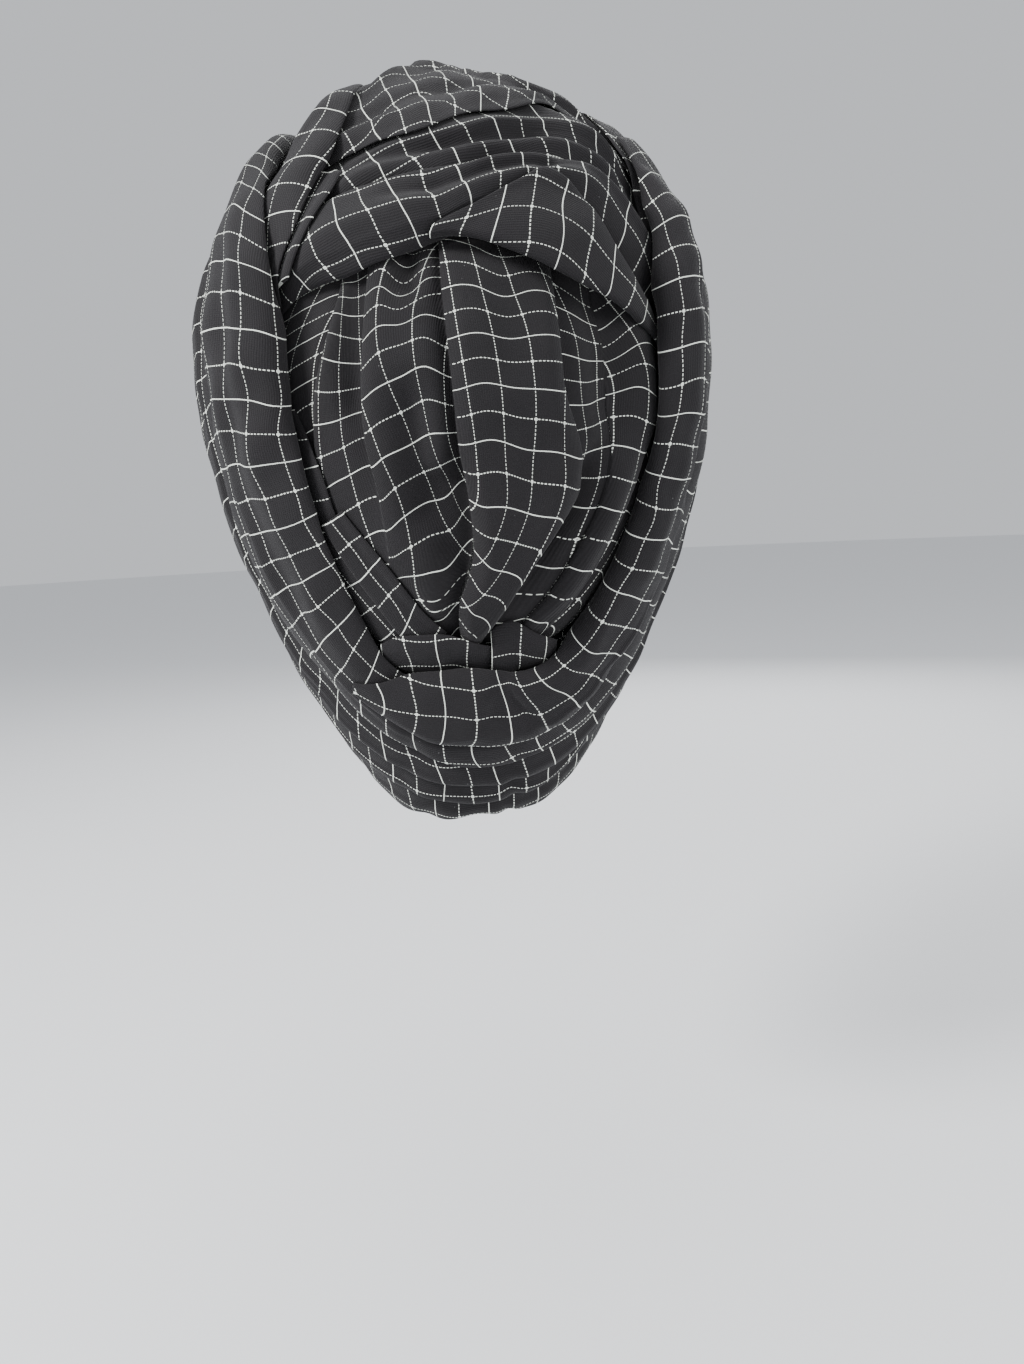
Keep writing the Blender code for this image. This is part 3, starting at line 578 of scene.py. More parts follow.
PANEL_LONG_LINES = (
    (-1105, -966, -827, -376, -345, -313, -364, -354, -336, -307, -272, 25, 124, 220, 310, 393, 501, 519,
     538, 669, 740, 810, 881, 514, 521),
    (-1060, -893, -716, -454, -390, -329, -348, -327, -299, -251, -206, -3, 99, 203, 285, 357, 442, 488,
     533, 619, 693, 767, 841, 529, 564),
    (-1008, -819, -611, -534, -434, -347, -340, -297, -249, -195, -147, -20, 77, 177, 254, 319, 378, 459,
     526, 567, 647, 723, 799, 545, 607),
    (-943, -756, -574, -607, -482, -373, -354, -293, -234, -169, -103, -25, 60, 146, 226, 293, 309, 436,
     516, 516, 598, 677, 757, 560, 651),
    (-880, -728, -586, -635, -520, -402, -391, -334, -266, -171, -75, -34, 51, 141, 226, 302, 309, 439,
     528, 484, 560, 636, 715, 577, 695),
    (-827, -710, -596, -628, -528, -425, -434, -378, -310, -195, -67, -42, 60, 178, 270, 382, 356, 454,
     537, 495, 557, 616, 676, 598, 734),
    (-783, -691, -600, -623, -533, -445, -476, -402, -334, -247, -124, -5, 94, 221, 308, 387, 401, 469,
     527, 517, 567, 609, 641, 625, 771),
    (-744, -672, -601, -622, -547, -472, -497, -417, -363, -328, -285, 92, 162, 235, 293, 319, 432, 470,
     503, 537, 569, 594, 612, 649, 808),
    (-707, -654, -601, -615, -559, -502, -480, -427, -397, -394, -395, 206, 238, 262, 282, 293, 453, 471,
     489, 552, 570, 586, 599, 673, 832),
    (-670, -637, -603, -607, -570, -534, -458, -447, -446, -460, -480, 307, 301, 292, 281, 272, 468, 473,
     479, 562, 572, 582, 593, 705, 846),
    (-635, -620, -605, -598, -582, -566, -439, -466, -495, -526, -559, 401, 362, 322, 286, 252, 481, 476,
     471, 570, 574, 579, 586, 741, 855),
)
STRIP_COLUMNS = (32, 18, 28, 34, 18, 26, 16)
SPAN_SAMPLES = 24
ARCH_POWER = 3
LIP_SPREAD = 2.5
LIP_START = 0.02
SOFT_FADE = 0.25
MILLIMETRE = 0.001


def curved(a, b, c, e, f):
    """A smooth curve from b to c, as f goes from nought to one, that also heeds a and e beyond them."""
    return b + 0.5 * f * (c - a + f * (2 * a - 5 * b + 4 * c - e + f * (3 * b - a - 3 * c + e)))


def along_rows(rows, spacing, closed):
    """Evenly spaced sections along a table of rows: the inner and outer edge directions, the values that
    follow them, and the length of the middle line."""
    table = np.array(rows, float)
    controls = np.hstack([direction(table[:, 0], table[:, 1]), direction(table[:, 2], table[:, 3]),
                          table[:, 4:] / 100.0])
    count = len(controls)
    spans = count if closed else count - 1
    t = np.linspace(0.0, spans, spans * SPAN_SAMPLES + 1)
    k = np.minimum(t.astype(int), spans - 1)
    f = (t - k)[:, None]
    picked = [(k + i) % count if closed else np.clip(k + i, 0, count - 1) for i in (-1, 0, 1, 2)]
    fine = curved(*(controls[i] for i in picked), f)
    middle = unit(fine[:, :3] + fine[:, 3:6])
    line = middle * egg_radius(middle)[:, None]
    walked = np.concatenate([[0.0], np.cumsum(np.linalg.norm(np.diff(line, axis=0), axis=1))])
    stations = int(round(walked[-1] / spacing)) + 1
    even = np.linspace(0.0, walked[-1], stations)
    if closed:
        even = even[:-1]
    values = np.stack([np.interp(even, walked, fine[:, i]) for i in range(fine.shape[1])], axis=1)
    return unit(values[:, :3]), unit(values[:, 3:6]), values[:, 6:], walked[-1]


def eased(t):
    """From nought to one, slow at both ends."""
    t = np.clip(t, 0.0, 1.0)
    return t * t * (3.0 - 2.0 * t)


def smoothly(values, t):
    """A smooth curve through values at even steps from nought to one."""
    values = np.array(values, float)
    position = np.clip(t, 0.0, 1.0) * (len(values) - 1)
    k = np.minimum(position.astype(int), len(values) - 2)
    f = (position - k).reshape(position.shape + (1,) * (values.ndim - 1))
    return curved(*(values[np.clip(k + i, 0, len(values) - 1)] for i in (-1, 0, 1, 2)), f)


def print_numbers(table, level, locals_by_strip):
    """Line numbers over the panel, smooth along it and within each strip between two creases."""
    numbers = []
    column = 0
    for strip, local in enumerate(locals_by_strip):
        count = len(PRINT_PLACES[strip])
        at_rows = smoothly(np.array([row[column:column + count] for row in table]) / 100.0, level)
        numbers.append(smoothly(at_rows.T, local).T)
        column += count
    return np.concatenate(numbers, axis=1)


def crown_panel():
    """The pleated sheet's upper and lower points and their places on the flat cloth. Its columns run along
    the creases and crowd towards them."""
    left, right, rises = along_rows(PANEL_SECTIONS, PANEL_STEP, False)[:3]
    rows = len(left)
    level = np.linspace(0.0, 1.0, rows)
    borders = ([np.zeros(rows)] + [smoothly(np.array(crease[0]) / 1000.0, level) for crease in CREASES]
               + [np.ones(rows)])
    locals_by_strip = []
    shares = []
    for strip, columns in enumerate(STRIP_COLUMNS):
        even = np.linspace(0.0, 1.0, columns + 1)
        local = 0.5 * (0.5 - 0.5 * np.cos(math.pi * even) + even)
        locals_by_strip.append(local)
        shares.append(borders[strip][:, None] * (1 - local) + borders[strip + 1][:, None] * local)
    strip_of = np.concatenate([np.full(s.shape[1], i) for i, s in enumerate(shares)])
    shares = np.concatenate(shares, axis=1)
    d = unit(left[:, None] * (1 - shares)[..., None] + right[:, None] * shares[..., None])
    width = (np.linalg.norm(right - left, axis=1) * egg_radius(unit(left + right)))[:, None]
    arch = 1.0 - np.abs(2.0 * shares - 1.0) ** ARCH_POWER
    fade = np.sqrt(np.sin(math.pi * np.clip(level, 0.0, 1.0)).clip(0.0))[:, None]
    lift = np.zeros(shares.shape)
    for number, (_, heights, reach, lip, side) in enumerate(CREASES):
        height = smoothly(heights, level).clip(0.0)[:, None] * MILLIMETRE
        gone = (shares - borders[number + 1][:, None]) * width * side
        raised = (strip_of > number) if side > 0 else (strip_of <= number)
        rounded = np.sqrt(eased(gone / (LIP_SPREAD * lip) + LIP_START))
        lift += height * raised[None, :] * rounded * np.exp(-np.maximum(gone, 0.0) / reach)
        lift -= CREASE_GROOVE * height * (~raised)[None, :] * np.exp(-(gone / GROOVE_WIDTH) ** 2)
    for *places, height, half_width in SOFT_FOLDS:
        top, at_top, bottom, at_bottom = (share / 1000.0 for share in places)
        t = (level - top) / (bottom - top)
        path = (at_top + (at_bottom - at_top) * t)[:, None]
        window = eased(np.minimum(t, 1.0 - t) / SOFT_FADE)[:, None]
        shape = np.exp(-((shares - path) * width / (half_width / 1000.0)) ** 2)
        lift += MILLIMETRE * SOFT_DEPTH * height * window * shape
    rise = rises[:, 1:2] + (rises[:, 0:1] - rises[:, 1:2]) * arch
    wanted = egg_radius(d) + rise * WINDING_DEPTH + (lift - PANEL_SINK) * arch * fade
    radius = np.maximum(wanted, cloth_top(d) + PANEL_GAP + PANEL_WALL)
    upper = CENTRE + d * radius[..., None]
    along = print_numbers(PANEL_CROSS_LINES, level, locals_by_strip) * CROSS_LINE_STEP
    across = print_numbers(PANEL_LONG_LINES, level, locals_by_strip) * LONG_LINE_STEP
    return upper, CENTRE + d * (radius - PANEL_WALL)[..., None], np.stack([along, across], axis=-1)


def sheet_faces(upper, lower, places):
    """Faces of a thin sheet: its upper side, its lower side and the edge all round."""
    rows, columns = upper.shape[:2]
    points = np.concatenate([upper.reshape(-1, 3), lower.reshape(-1, 3)])
    flat = places.reshape(-1, 2)
    r, c = np.meshgrid(np.arange(rows - 1), np.arange(columns - 1), indexing="ij")
    a = (r * columns + c).reshape(-1)
    top = np.stack([a, a + 1, a + columns + 1, a + columns], axis=1)
    half = rows * columns
    bottom = top[:, ::-1] + half
    border = list(range(columns)) + [r * columns + columns - 1 for r in range(1, rows)]
    border += [(rows - 1) * columns + c for c in range(columns - 2, -1, -1)]
    border += [r * columns for r in range(rows - 2, 0, -1)]
    edge = np.array(border)
    after = np.roll(edge, -1)
    rim = np.stack([after, edge, edge + half, after + half], axis=1)
    faces = np.concatenate([top, bottom, rim])
    return points, faces.tolist(), np.concatenate([flat, flat])[faces]


panel_cloth = cloth_object("crown_panel_cloth", *sheet_faces(*crown_panel()))
settle_in(panel_cloth, "crown_panel")

# Nape and side turns: the cloth is folded lengthwise into soft rolled bands and wound round the nape, the
# sides and the forehead. Each turn lies over the one before and leaves a strip of its edge showing.
FOLD_STEP = 0.0022
EDGE_POINTS = 7
ACROSS_POINTS = 26
LAYER_GAP = 0.0004
LEAST_CLOTH = 0.0016
EDGE_LEVEL = 0.42
REST_REACH = 2
BLEND_REACH = 0.0016
LAP_LIP = 0.0016
ROLL_THICKNESS = 0.020
ROLL_EDGE = 0.4
ROLL_BULGE = 0.15
RIPPLE_WAVES = 7
SWELL_STEPS = (0.022, 0.10)
SWELL_SLANT = 0.012
RIDGE_FADE = 0.2
DRIFT_SEED = 100
SWAY_SEED = 200
PRINT_DRIFT = 0.7
# Columns: azimuth and elevation of the inner edge, the same of the outer edge, then how far each edge
# stands out from the egg, in hundredths of the winding depth
NAPE_BOTTOM = (
    (-3, -67, -3, -73.5, -90, -35), (22, -66, 26, -74.5, -90, -35), (45, -60, 54, -72.5, -90, -40),
    (61, -50, 75, -66, -90, -50), (73, -34, 92, -58, -85, -45), (90, -12, 112, -49, -80, -40),
    (112, 3, 132, -39, -80, -40), (144, 11, 156, -28, -80, -40), (180, 13, 180, -24, -80, -40),
    (-144, 11, -156, -28, -80, -40), (-112, 3, -132, -39, -80, -40), (-90, -12, -112, -49, -80, -40),
    (-73, -34, -92, -58, -85, -45), (-61, -50, -76, -63, -90, -50), (-48, -60, -58, -70, -90, -40),
    (-26, -66, -30, -74, -90, -35),
)
NAPE_LOWER = (
    (-3, -64, -3, -70.5, -75, -20), (20, -63, 24, -69.5, -75, -20), (44, -56, 54, -64.5, -75, -35),
    (57, -43, 72, -55, -75, -30), (64, -25, 84, -39, -75, -25), (67, -4, 96, -19, -70, -20),
    (73, 14, 110, -1, -70, -20), (92, 29, 126, 5, -70, -20), (134, 33, 144, 6, -70, -20),
    (180, 34, 180, 5, -70, -20), (-134, 33, -144, 6, -70, -20), (-100, 27, -126, 5, -70, -20),
    (-82, 11, -110, -2, -70, -20), (-78, -8, -98, -20, -70, -20), (-72, -27, -88, -39, -75, -25),
    (-62, -45, -74, -55, -75, -30), (-46, -56, -56, -64, -75, -35), (-26, -63, -29, -69.5, -75, -20),
)
OUTER_LAYER = (
    (-3, -60, -3, -67, -60, -5), (16, -59, 18, -66, -60, -5), (32, -53, 44, -60, -60, -20),
    (44, -40, 64, -47, -60, -20), (47, -24, 72, -27, -60, -10), (45, -3, 76, -4, -60, -5),
    (46, 13, 78, 12, -60, -5), (49, 27, 82, 22, -60, -5), (60, 42, 92, 27, -60, -5),
    (86, 53, 110, 28, -60, -5), (132, 55, 138, 26, -60, -5), (180, 55, 180, 24, -60, -5),
    (-132, 55, -138, 26, -60, -5), (-88, 52, -110, 28, -60, -5), (-68, 36, -94, 25, -60, -5),
    (-64, 14, -90, 12, -60, -5), (-64, -4, -88, -6, -60, -5), (-62, -22, -84, -24, -60, -10),
    (-57, -38, -76, -42, -60, -20), (-46, -52, -58, -58, -60, -20), (-26, -58, -30, -66, -60, -5),
)


def neighbours(grid, reach, axis, wraps):
    """A grid shifted by up to reach places each way along one axis, as a stack."""
    pad = [(0, 0)] * grid.ndim
    pad[axis] = (reach, reach)
    wide = np.pad(grid, pad, mode="wrap" if wraps else "edge")
    size = grid.shape[axis]
    return np.stack([np.take(wide, range(i, i + size), axis=axis) for i in range(2 * reach + 1)])


def draped_over(d, closed):
    """The radius at which cloth rests on all beneath it, drawn smoothly over edges and into no grooves."""
    over = cloth_top(d) - egg_radius(d)
    for axis in (0, 1):
        over = neighbours(over, REST_REACH, axis, closed and axis == 0).max(axis=0)
    for axis in (0, 1, 0, 1):
        over = neighbours(over, REST_REACH, axis, closed and axis == 0).mean(axis=0)
    return over + egg_radius(d)


def section_shares(edge):
    """Places across a band from its inner to its outer edge, and how far its rounded edges have risen."""
    turn = np.linspace(0.0, 0.5 * math.pi, EDGE_POINTS)
    rim = 1.0 - edge + edge * np.sin(turn)
    flat = np.linspace(-(1.0 - edge), 1.0 - edge, ACROSS_POINTS)[1:-1]
    shares = np.concatenate([-rim[::-1], flat, rim])
    risen = np.concatenate([np.cos(turn)[::-1], np.ones(len(flat)), np.cos(turn)])
    return shares, risen


def larger_of(a, b):
    """The larger of two heights, with a soft turn where they cross."""
    return 0.5 * (a + b + np.sqrt((a - b) ** 2 + BLEND_REACH ** 2))


def ridge_heights(ridges, place, shares, half_width, closed):
    """Soft ridges, and laps with one raised side, that run along a band."""
    total = np.zeros((len(place), len(shares)))
    for *places, height, reach, side in ridges:
        start, end, at_start, at_middle, at_end = (share / 100.0 for share in places)
        reach = reach / 1000.0
        if closed:
            t = ((place - start) % 1.0) / ((end - start) % 1.0 or 1.0)
        else:
            t = (place - start) / (end - start)
        window = eased(np.minimum(t, 1.0 - t) / RIDGE_FADE)
        path = at_start * (1 - t) * (1 - 2 * t) + 4 * at_middle * t * (1 - t) + at_end * t * (2 * t - 1)
        gone = (shares[None, :] - path[:, None]) * half_width[:, None]
        if side == 0:
            shape = np.exp(-(gone / reach) ** 2)
        else:
            shape = eased(0.5 + 0.5 * gone * side / LAP_LIP) * np.exp(-np.maximum(gone * side, 0.0) / reach)
        total += np.where(window > 0.0, window, 0.0)[:, None] * height * MILLIMETRE * shape
    return total


def ripple_heights(seed, height, length, place, shares, half_width):
    """Slow uneven swells, the same each time."""
    chance = np.random.default_rng(seed)
    total = np.zeros((len(place), len(shares)))
    for _ in range(RIPPLE_WAVES):
        swells = round(length / chance.uniform(*SWELL_STEPS))
        across = chance.uniform(-1.0, 1.0) * math.pi * half_width[:, None] / SWELL_SLANT
        total += np.sin(2.0 * math.pi * swells * place[:, None] + across * shares[None, :]
                        + chance.uniform(0.0, 2.0 * math.pi))
    return height * MILLIMETRE * total / math.sqrt(RIPPLE_WAVES)


def wound_fold(name, rows, seed, closed=False, thickness=ROLL_THICKNESS, edge=ROLL_EDGE, bulge=ROLL_BULGE,
               ridges=(), tucks=(), ripple=0.6, bow=0.0, lean=0.0, turn=0.0, print_start=(0.0, 0.0)):
    """A rolled band laid along its rows over all the cloth wound before it."""
    inner, outer, rises, length = along_rows(rows, FOLD_STEP, closed)
    stations = len(inner)
    shares, risen = section_shares(edge)
    blend = 0.5 * (shares + 1.0)
    d = unit(inner[:, None] * (1 - blend)[None, :, None] + outer[:, None] * blend[None, :, None])
    place = np.arange(stations) / (stations if closed else stations - 1)
    half_width = 0.5 * np.linalg.norm(outer - inner, axis=1) * egg_radius(unit(inner + outer))
    rise = rises[:, 0:1] * (1 - blend) + rises[:, 1:2] * blend + bulge * (1.0 - shares ** 2)
    wanted = egg_radius(d) + rise * WINDING_DEPTH
    wanted += ridge_heights(ridges, place, shares, half_width, closed)
    wanted += ripple_heights(seed, ripple, length, place, shares, half_width)
    for at, depth, reach, skew in tucks:
        gone = ((place[:, None] - at + 0.5) % 1.0 - 0.5) * length
        gone = gone + skew * shares[None, :] * half_width[:, None]
        wanted -= MILLIMETRE * depth * np.exp(-(gone / reach) ** 2)
    beneath = draped_over(d, closed) + LAYER_GAP
    top = larger_of(wanted, beneath + LEAST_CLOTH)
    bottom = np.minimum(np.maximum(beneath, top - thickness), top - 0.5 * LEAST_CLOTH)
    middle = bottom + EDGE_LEVEL * (top - bottom)
    under = np.arange(len(shares) - 2, 0, -1)
    radius = np.concatenate([middle + (top - middle) * risen, middle[:, under]
                             - (middle - bottom)[:, under] * risen[under]], axis=1)
    points = CENTRE + np.concatenate([d, d[:, under]], axis=1) * radius[..., None]
    ring = points.shape[1]
    around = np.linalg.norm(np.roll(points, -1, axis=1) - points, axis=2)
    walked = np.concatenate([np.zeros((stations, 1)), np.cumsum(around, axis=1)], axis=1)
    total = walked[:, -1:]
    walked = walked[:, :-1]
    seam = len(shares) + len(under) // 2
    across = np.where(np.arange(ring)[None, :] < seam, walked, walked - total)
    across = across - walked[:, len(shares) // 2][:, None]
    all_shares = np.concatenate([shares, shares[under]])
    ruled = ruled_length(length) if closed else length
    along = np.arange(stations + 1) * ruled / (stations if closed else stations - 1)

    drift = ripple_heights(seed + DRIFT_SEED, PRINT_DRIFT, length, place, all_shares, half_width)
    sway = ripple_heights(seed + SWAY_SEED, PRINT_DRIFT, length, place, all_shares, half_width)
    cosine = math.cos(math.radians(turn))
    sine = math.sin(math.radians(turn))

    def cloth_place(station, step):
        u = along[step] + bow * (1 - all_shares ** 2) + lean * across[station] + drift[station]
        u = u + print_start[0]
        v = across[station] + sway[station] + print_start[1]
        return np.stack([cosine * u + sine * v, cosine * v - sine * u], axis=-1)

    faces = []
    places = []
    for s in range(stations if closed else stations - 1):
        t = (s + 1) % stations
        here = cloth_place(s, s)
        there = cloth_place(t, s + 1)
        i = np.arange(ring)
        j = (i + 1) % ring
        faces.append(np.stack([s * ring + i, s * ring + j, t * ring + j, t * ring + i], axis=1))
        places.append(np.stack([here[i], here[j], there[j], there[i]], axis=1))
    faces = np.concatenate(faces).tolist()
    places = np.concatenate(places).reshape(-1, 2)
    if not closed:
        for s, sense in ((0, -1), (stations - 1, 1)):
            for k in range(len(shares) - 1):
                corners = [k, k + 1, (ring - k - 1) % ring, (ring - k) % ring]
                corners = [c for i, c in enumerate(corners) if c not in corners[:i]][::sense]
                faces.append([s * ring + c for c in corners])
                places = np.concatenate([places, cloth_place(s, s)[corners]])
    piece = cloth_object(name + "_cloth", points, faces, places)
    settle_in(piece, name)
    return piece


# Ridges and laps of a fold: where along it each starts and ends and its places across the fold at the
# start, the middle and the end, in hundredths, its height and reach in millimetres, and which side of a lap
# is raised
BOTTOM_RIDGES = (
    (90, 12, 30, 45, 35, 1.3, 8, 1), (88, 16, 70, 75, 65, 1.1, 8, 1), (20, 46, 20, 35, 20, 1.8, 9, 1),
    (50, 84, 10, -10, 20, 2, 9, 0),
)
LOWER_RIDGES = (
    (88, 14, 35, 55, 45, 1.4, 7, 1), (16, 44, 10, 30, 10, 2, 9, 1), (48, 80, -10, 20, 0, 2.2, 9, 0),
)
SIDE_RIDGES = (
    (4, 34, 45, 15, 30, 2, 7, 1), (90, 14, 35, 60, 45, 1.4, 6, 1), (40, 64, 20, -20, 10, 2.4, 9, 0),
    (68, 94, 40, 55, 35, 1.6, 7, 1),
)
nape_bottom = wound_fold("nape_bottom_fold", NAPE_BOTTOM, 11, closed=True, ridges=BOTTOM_RIDGES,
                         tucks=((0.985, 2.2, 0.004, 0.2), (0.03, 1.2, 0.006, -0.5), (0.11, 1.4, 0.007, 0.6)),
                         print_start=(0.003, 0.002))
nape_lower = wound_fold("nape_lower_fold", NAPE_LOWER, 12, closed=True, ridges=LOWER_RIDGES,
                        tucks=((0.985, 2.2, 0.004, 0.3), (0.045, 1.3, 0.006, 0.6), (0.93, 1.2, 0.006, -0.5)),
                        print_start=(0.009, 0.006))
outer_side = wound_fold("outer_side_fold", OUTER_LAYER, 13, closed=True, ridges=SIDE_RIDGES, lean=0.25,
                        tucks=((0.987, 2.0, 0.004, 0.3), (0.03, 1.2, 0.005, -0.6)),
                        print_start=(0.006, -0.003))

# Top folds: the cloth is drawn over the crown from side to side in flat folds that overlap like steps,
# each tucked in at the sides. The hindmost ends curl down over the pleated panel.
TOP_THICKNESS = 0.012
TOP_LEAN = 0.5
TOP_FRONT = (
    (62, 48, 86, 44, -85, -80), (66, 62, 104, 53, -75, -60), (64, 80, 140, 54, -65, -35),
    (0, 84, 180, 53, -60, -35), (-64, 80, -140, 54, -65, -35), (-66, 62, -104, 53, -75, -60),
    (-62, 48, -86, 44, -85, -80),
)
TOP_MIDDLE = (
    (36, 21, 42, 34, -85, -85), (28, 23, 32, 40, -70, -65), (18, 25, 19, 46, -60, -45),
    (7, 26, 5, 50, -50, -40), (-4, 27, -8, 55, -45, -40), (-15, 30, -24, 60, -40, -40),
    (-28, 31, -50, 62, -45, -40), (-42, 29, -66, 50, -55, -45), (-54, 20, -72, 34, -80, -70),
)
TOP_UPPER = (
    (39, 30, 60, 46, -75, -65), (28, 36, 64, 62, -40, -25), (17, 39, 80, 77, -25, -10),
    (3, 40, 180, 74, -20, -5), (-9, 45, -140, 74, -15, -5), (-22, 47.5, -108, 70, -15, -10),
    (-42, 53, -88, 61, -20, -20), (-54, 48, -78, 50, -30, -40), (-55, 38, -74, 38, -65, -65),
)
TOP_LOWER = (
    (38, 7, 43, 18, -90, -85), (31, 11.5, 33, 23, -60, -60), (24, 13.5, 23, 28.5, -45, -35),
    (17, 14, 16, 30, -40, -25), (8, 16, 6, 31, -35, -20), (-1, 19, -5, 32, -30, -20),
    (-8, 22, -14, 34.5, -30, -20), (-18, 25, -27, 36, -30, -20), (-30, 25, -40, 34, -35, -25),
    (-38, 19, -51, 26, -50, -40), (-47, 9, -58, 13, -85, -70),
)

FRONT_RIDGES = (
    (10, 90, 30, -20, 30, 2.6, 10, 1), (5, 80, -40, 35, -10, 2, 8, 0),
)
MIDDLE_RIDGES = (
    (8, 95, -20, -45, -30, 3.2, 4.5, 0), (15, 92, 15, -10, 10, 3, 10, 1),
    (30, 90, -5, -28, -10, -2.4, 3.5, 0), (50, 98, 60, 10, 5, 2.6, 5, 0),
)
UPPER_RIDGES = (
    (2, 70, -35, -10, 50, 3.2, 8, 0), (12, 80, -60, -55, -20, -2.6, 5, 0), (10, 86, -80, -78, -60, 2.4, 4, 0),
    (30, 98, 20, -25, -50, 3, 12, 1), (62, 100, -20, -60, -80, -3, 5, 0), (5, 95, 70, 50, 60, 2.4, 10, 0),
)
LOWER_TOP_RIDGES = (
    (10, 85, -20, -5, 0, 2.2, 7, 0), (28, 72, 55, 45, 60, -3, 5, 0), (5, 60, -70, -60, -70, 1.4, 6, 1),
    (40, 98, 80, 70, 50, 2, 4, 0),
)
top_front = wound_fold("top_front_fold", TOP_FRONT, 21, thickness=TOP_THICKNESS, ridges=FRONT_RIDGES,
                       ripple=1.0, turn=12.0)
top_middle = wound_fold("top_middle_fold", TOP_MIDDLE, 22, thickness=TOP_THICKNESS, ridges=MIDDLE_RIDGES,
                        ripple=0.9, lean=TOP_LEAN)
top_upper = wound_fold("top_upper_fold", TOP_UPPER, 23, thickness=TOP_THICKNESS, ridges=UPPER_RIDGES,
                       ripple=1.1, lean=TOP_LEAN, turn=-14.0)
top_lower = wound_fold("top_lower_fold", TOP_LOWER, 24, thickness=TOP_THICKNESS, ridges=LOWER_TOP_RIDGES,
                       tucks=((0.42, 1.6, 0.006, 0.5), (0.62, 1.3, 0.005, -0.4)), ripple=0.7, lean=TOP_LEAN)

# Tail: the cloth's last end is drawn across the back as a flat flap, turned under the top folds and
# tucked behind the right side turn. A narrow strip of it and a pocket of cloth fill the upper left.
TAIL_THICKNESS = 0.004
TAIL_EDGE = 0.2
TAIL_BULGE = 0.05
STRIP_THICKNESS = 0.010
TUCKED_TAIL = (
    (1, 18.5, 0, 20, -20, -15), (-5, 18, -8, 23.5, -10, -5), (-12, 15.5, -17, 28, 0, -5),
    (-18, 13, -23, 30, 5, -5), (-25, 10, -31, 25, 5, -5), (-34, 7, -38, 15, -5, -15),
    (-43, 4, -46, 9, -35, -40), (-51, 0, -54, 4, -80, -75),
)
POCKET_FOLD = (
    (20, 34, 30, 37, -60, -60), (22, 28, 31, 29, -45, -50), (25, 22, 34, 22, -50, -55),
    (29, 14, 37, 13, -75, -80),
)
TAIL_STRIP = (
    (26, 60, 42, 58, -10, -15), (23, 49, 34, 50, -5, -10), (22.5, 39, 38, 41, -5, -15),
    (26, 32, 43, 34, -15, -25), (28, 24, 43, 24, -20, -35), (31, 17, 40, 17, -35, -50),
    (32, 10, 38, 10, -70, -75),
)

tucked_tail = wound_fold("tucked_tail", TUCKED_TAIL, 31, thickness=TAIL_THICKNESS, edge=TAIL_EDGE,
                         bulge=TAIL_BULGE, ripple=0.3)
pocket = wound_fold("pocket_fold", POCKET_FOLD, 32, thickness=STRIP_THICKNESS)
tail_strip = wound_fold("tail_strip", TAIL_STRIP, 33, thickness=STRIP_THICKNESS)

# Nape: a roll and a thin fold come down inside the left side turn, and a short sling of cloth with a
# small knot closes the gathered foot of the panel.
LEFT_ROLL = (
    (31, -9, 38, -9, -80, -80), (26, -19, 36, -20, -45, -60), (23, -30, 33, -32, -40, -55),
    (17, -37.5, 29, -42, -40, -55), (8, -45, 19, -51, -45, -60), (2, -49, 8, -55, -75, -80),
)
THIN_FOLD = (
    (22, -27, 27, -29, -80, -80), (14, -35.5, 20, -39, -60, -65), (8, -42.5, 13, -47, -60, -70),
    (3, -46.5, 7, -50, -80, -80),
)
NAPE_SLING = (
    (19, -48, 20, -56, -55, -80), (13, -46, 13, -56, -50, -75), (4, -46, 4, -57, -50, -75),
    (-4, -48, -4, -57, -50, -75), (-11, -50.5, -11, -57, -65, -80),
)
NAPE_KNOT = (
    (-7, -47, -7, -53, -45, -65), (-12, -45.5, -12, -54, -35, -65), (-18, -47.5, -18, -55, -35, -65),
    (-24, -50, -24, -56, -60, -70),
)

left_roll = wound_fold("left_inner_roll", LEFT_ROLL, 41)
wound_fold("thin_inner_fold", THIN_FOLD, 42, thickness=STRIP_THICKNESS)
nape_sling = wound_fold("nape_sling", NAPE_SLING, 43, thickness=STRIP_THICKNESS)
wound_fold("nape_knot", NAPE_KNOT, 44, thickness=STRIP_THICKNESS)

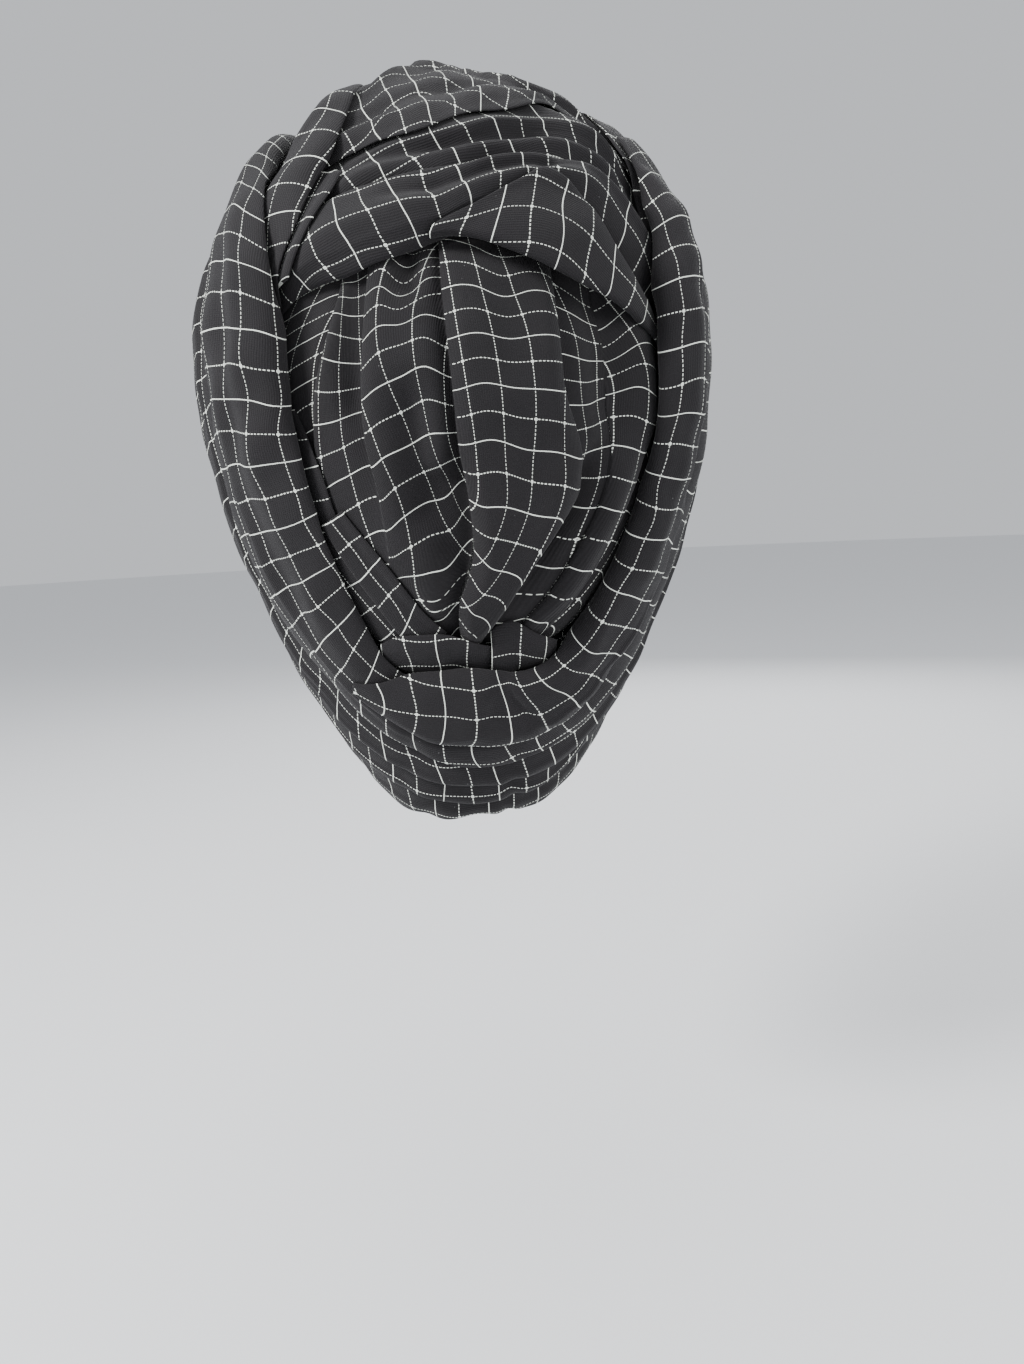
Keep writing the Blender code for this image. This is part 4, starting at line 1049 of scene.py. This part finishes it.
# Outer turns: the last two turns frame the back. The left one goes all round; the right one crosses
# over it at the nape and its end is tucked in there, which holds the whole winding.
MAIN_LEFT = (
    (-3, -55, -3, -64, -40, 0), (10, -54, 14, -62, -30, 0), (20, -47, 32, -57, -10, -5),
    (25, -34, 53, -41, 5, -10), (28, -19, 57, -20, 15, 0), (30, -5, 54, -2, 20, 10), (31, 11, 54, 15, 15, 10),
    (34, 21, 57, 27, 10, 5), (41, 36, 62, 42, 0, -5), (60, 54, 80, 48, 0, -5), (110, 66, 110, 44, 0, 5),
    (180, 66, 180, 41, 0, 5), (-110, 66, -110, 44, 0, 5), (-62, 54, -78, 47, -10, 0),
    (-54, 35, -76, 34, -30, 5), (-52, 16, -75, 16, -40, 5), (-51, 0, -74, 0, -40, 5),
    (-50, -16, -73, -18, -40, 0), (-47, -32, -68, -37, -40, -10), (-38, -46, -56, -53, -40, -15),
    (-20, -53, -30, -62, -40, -5),
)
MAIN_RIGHT = (
    (-58, 46, -68, 45, -20, -10), (-53, 33, -66, 33, 5, 10), (-47, 17, -63, 18, 20, 20),
    (-45, 4, -62, 4, 25, 20), (-44, -10, -60, -9, 25, 20), (-42, -24, -57, -26, 20, 15),
    (-36, -37, -53, -40, 20, 10), (-27, -48, -43, -51, 15, 10), (-16, -52, -29, -58, 10, 15),
    (-4, -51, -3, -60, 10, 20), (10, -51, 12, -58.5, 5, 20), (20, -51, 21, -55.5, 0, 10),
    (26, -51, 27, -52.5, -15, -5),
)

LEFT_RIDGES = (
    (2, 22, 50, 28, 42, 2, 9, -1), (1, 30, -30, -42, -20, 1.6, 6, 0), (6, 28, 10, -2, 15, -1.3, 5, 0),
    (36, 64, 20, -30, 30, 2.4, 10, 1), (40, 70, -50, 30, -20, 1.8, 8, 0), (93, 6, 30, 20, 50, 1.4, 6, 1),
)
RIGHT_RIDGES = (
    (4, 50, 40, 25, 45, 1.6, 7, -1), (10, 62, -35, -20, -40, 1.4, 5, 0), (55, 96, 55, 40, 60, 1.5, 7, 1),
    (62, 98, -30, -10, -20, -1.2, 5, 0),
)
main_left = wound_fold("main_left_fold", MAIN_LEFT, 51, closed=True, ridges=LEFT_RIDGES, bow=-0.0030,
                       tucks=((0.985, 2.0, 0.004, 0.3), (0.035, 1.2, 0.006, 0.5)), ripple=0.8)
wound_fold("main_right_fold", MAIN_RIGHT, 52, ridges=RIGHT_RIDGES, bow=0.0030, ripple=0.7,
           tucks=((0.79, 2.4, 0.0035, 0.4), (0.83, 1.2, 0.005, -0.5), (0.70, 1.0, 0.006, 0.5)))
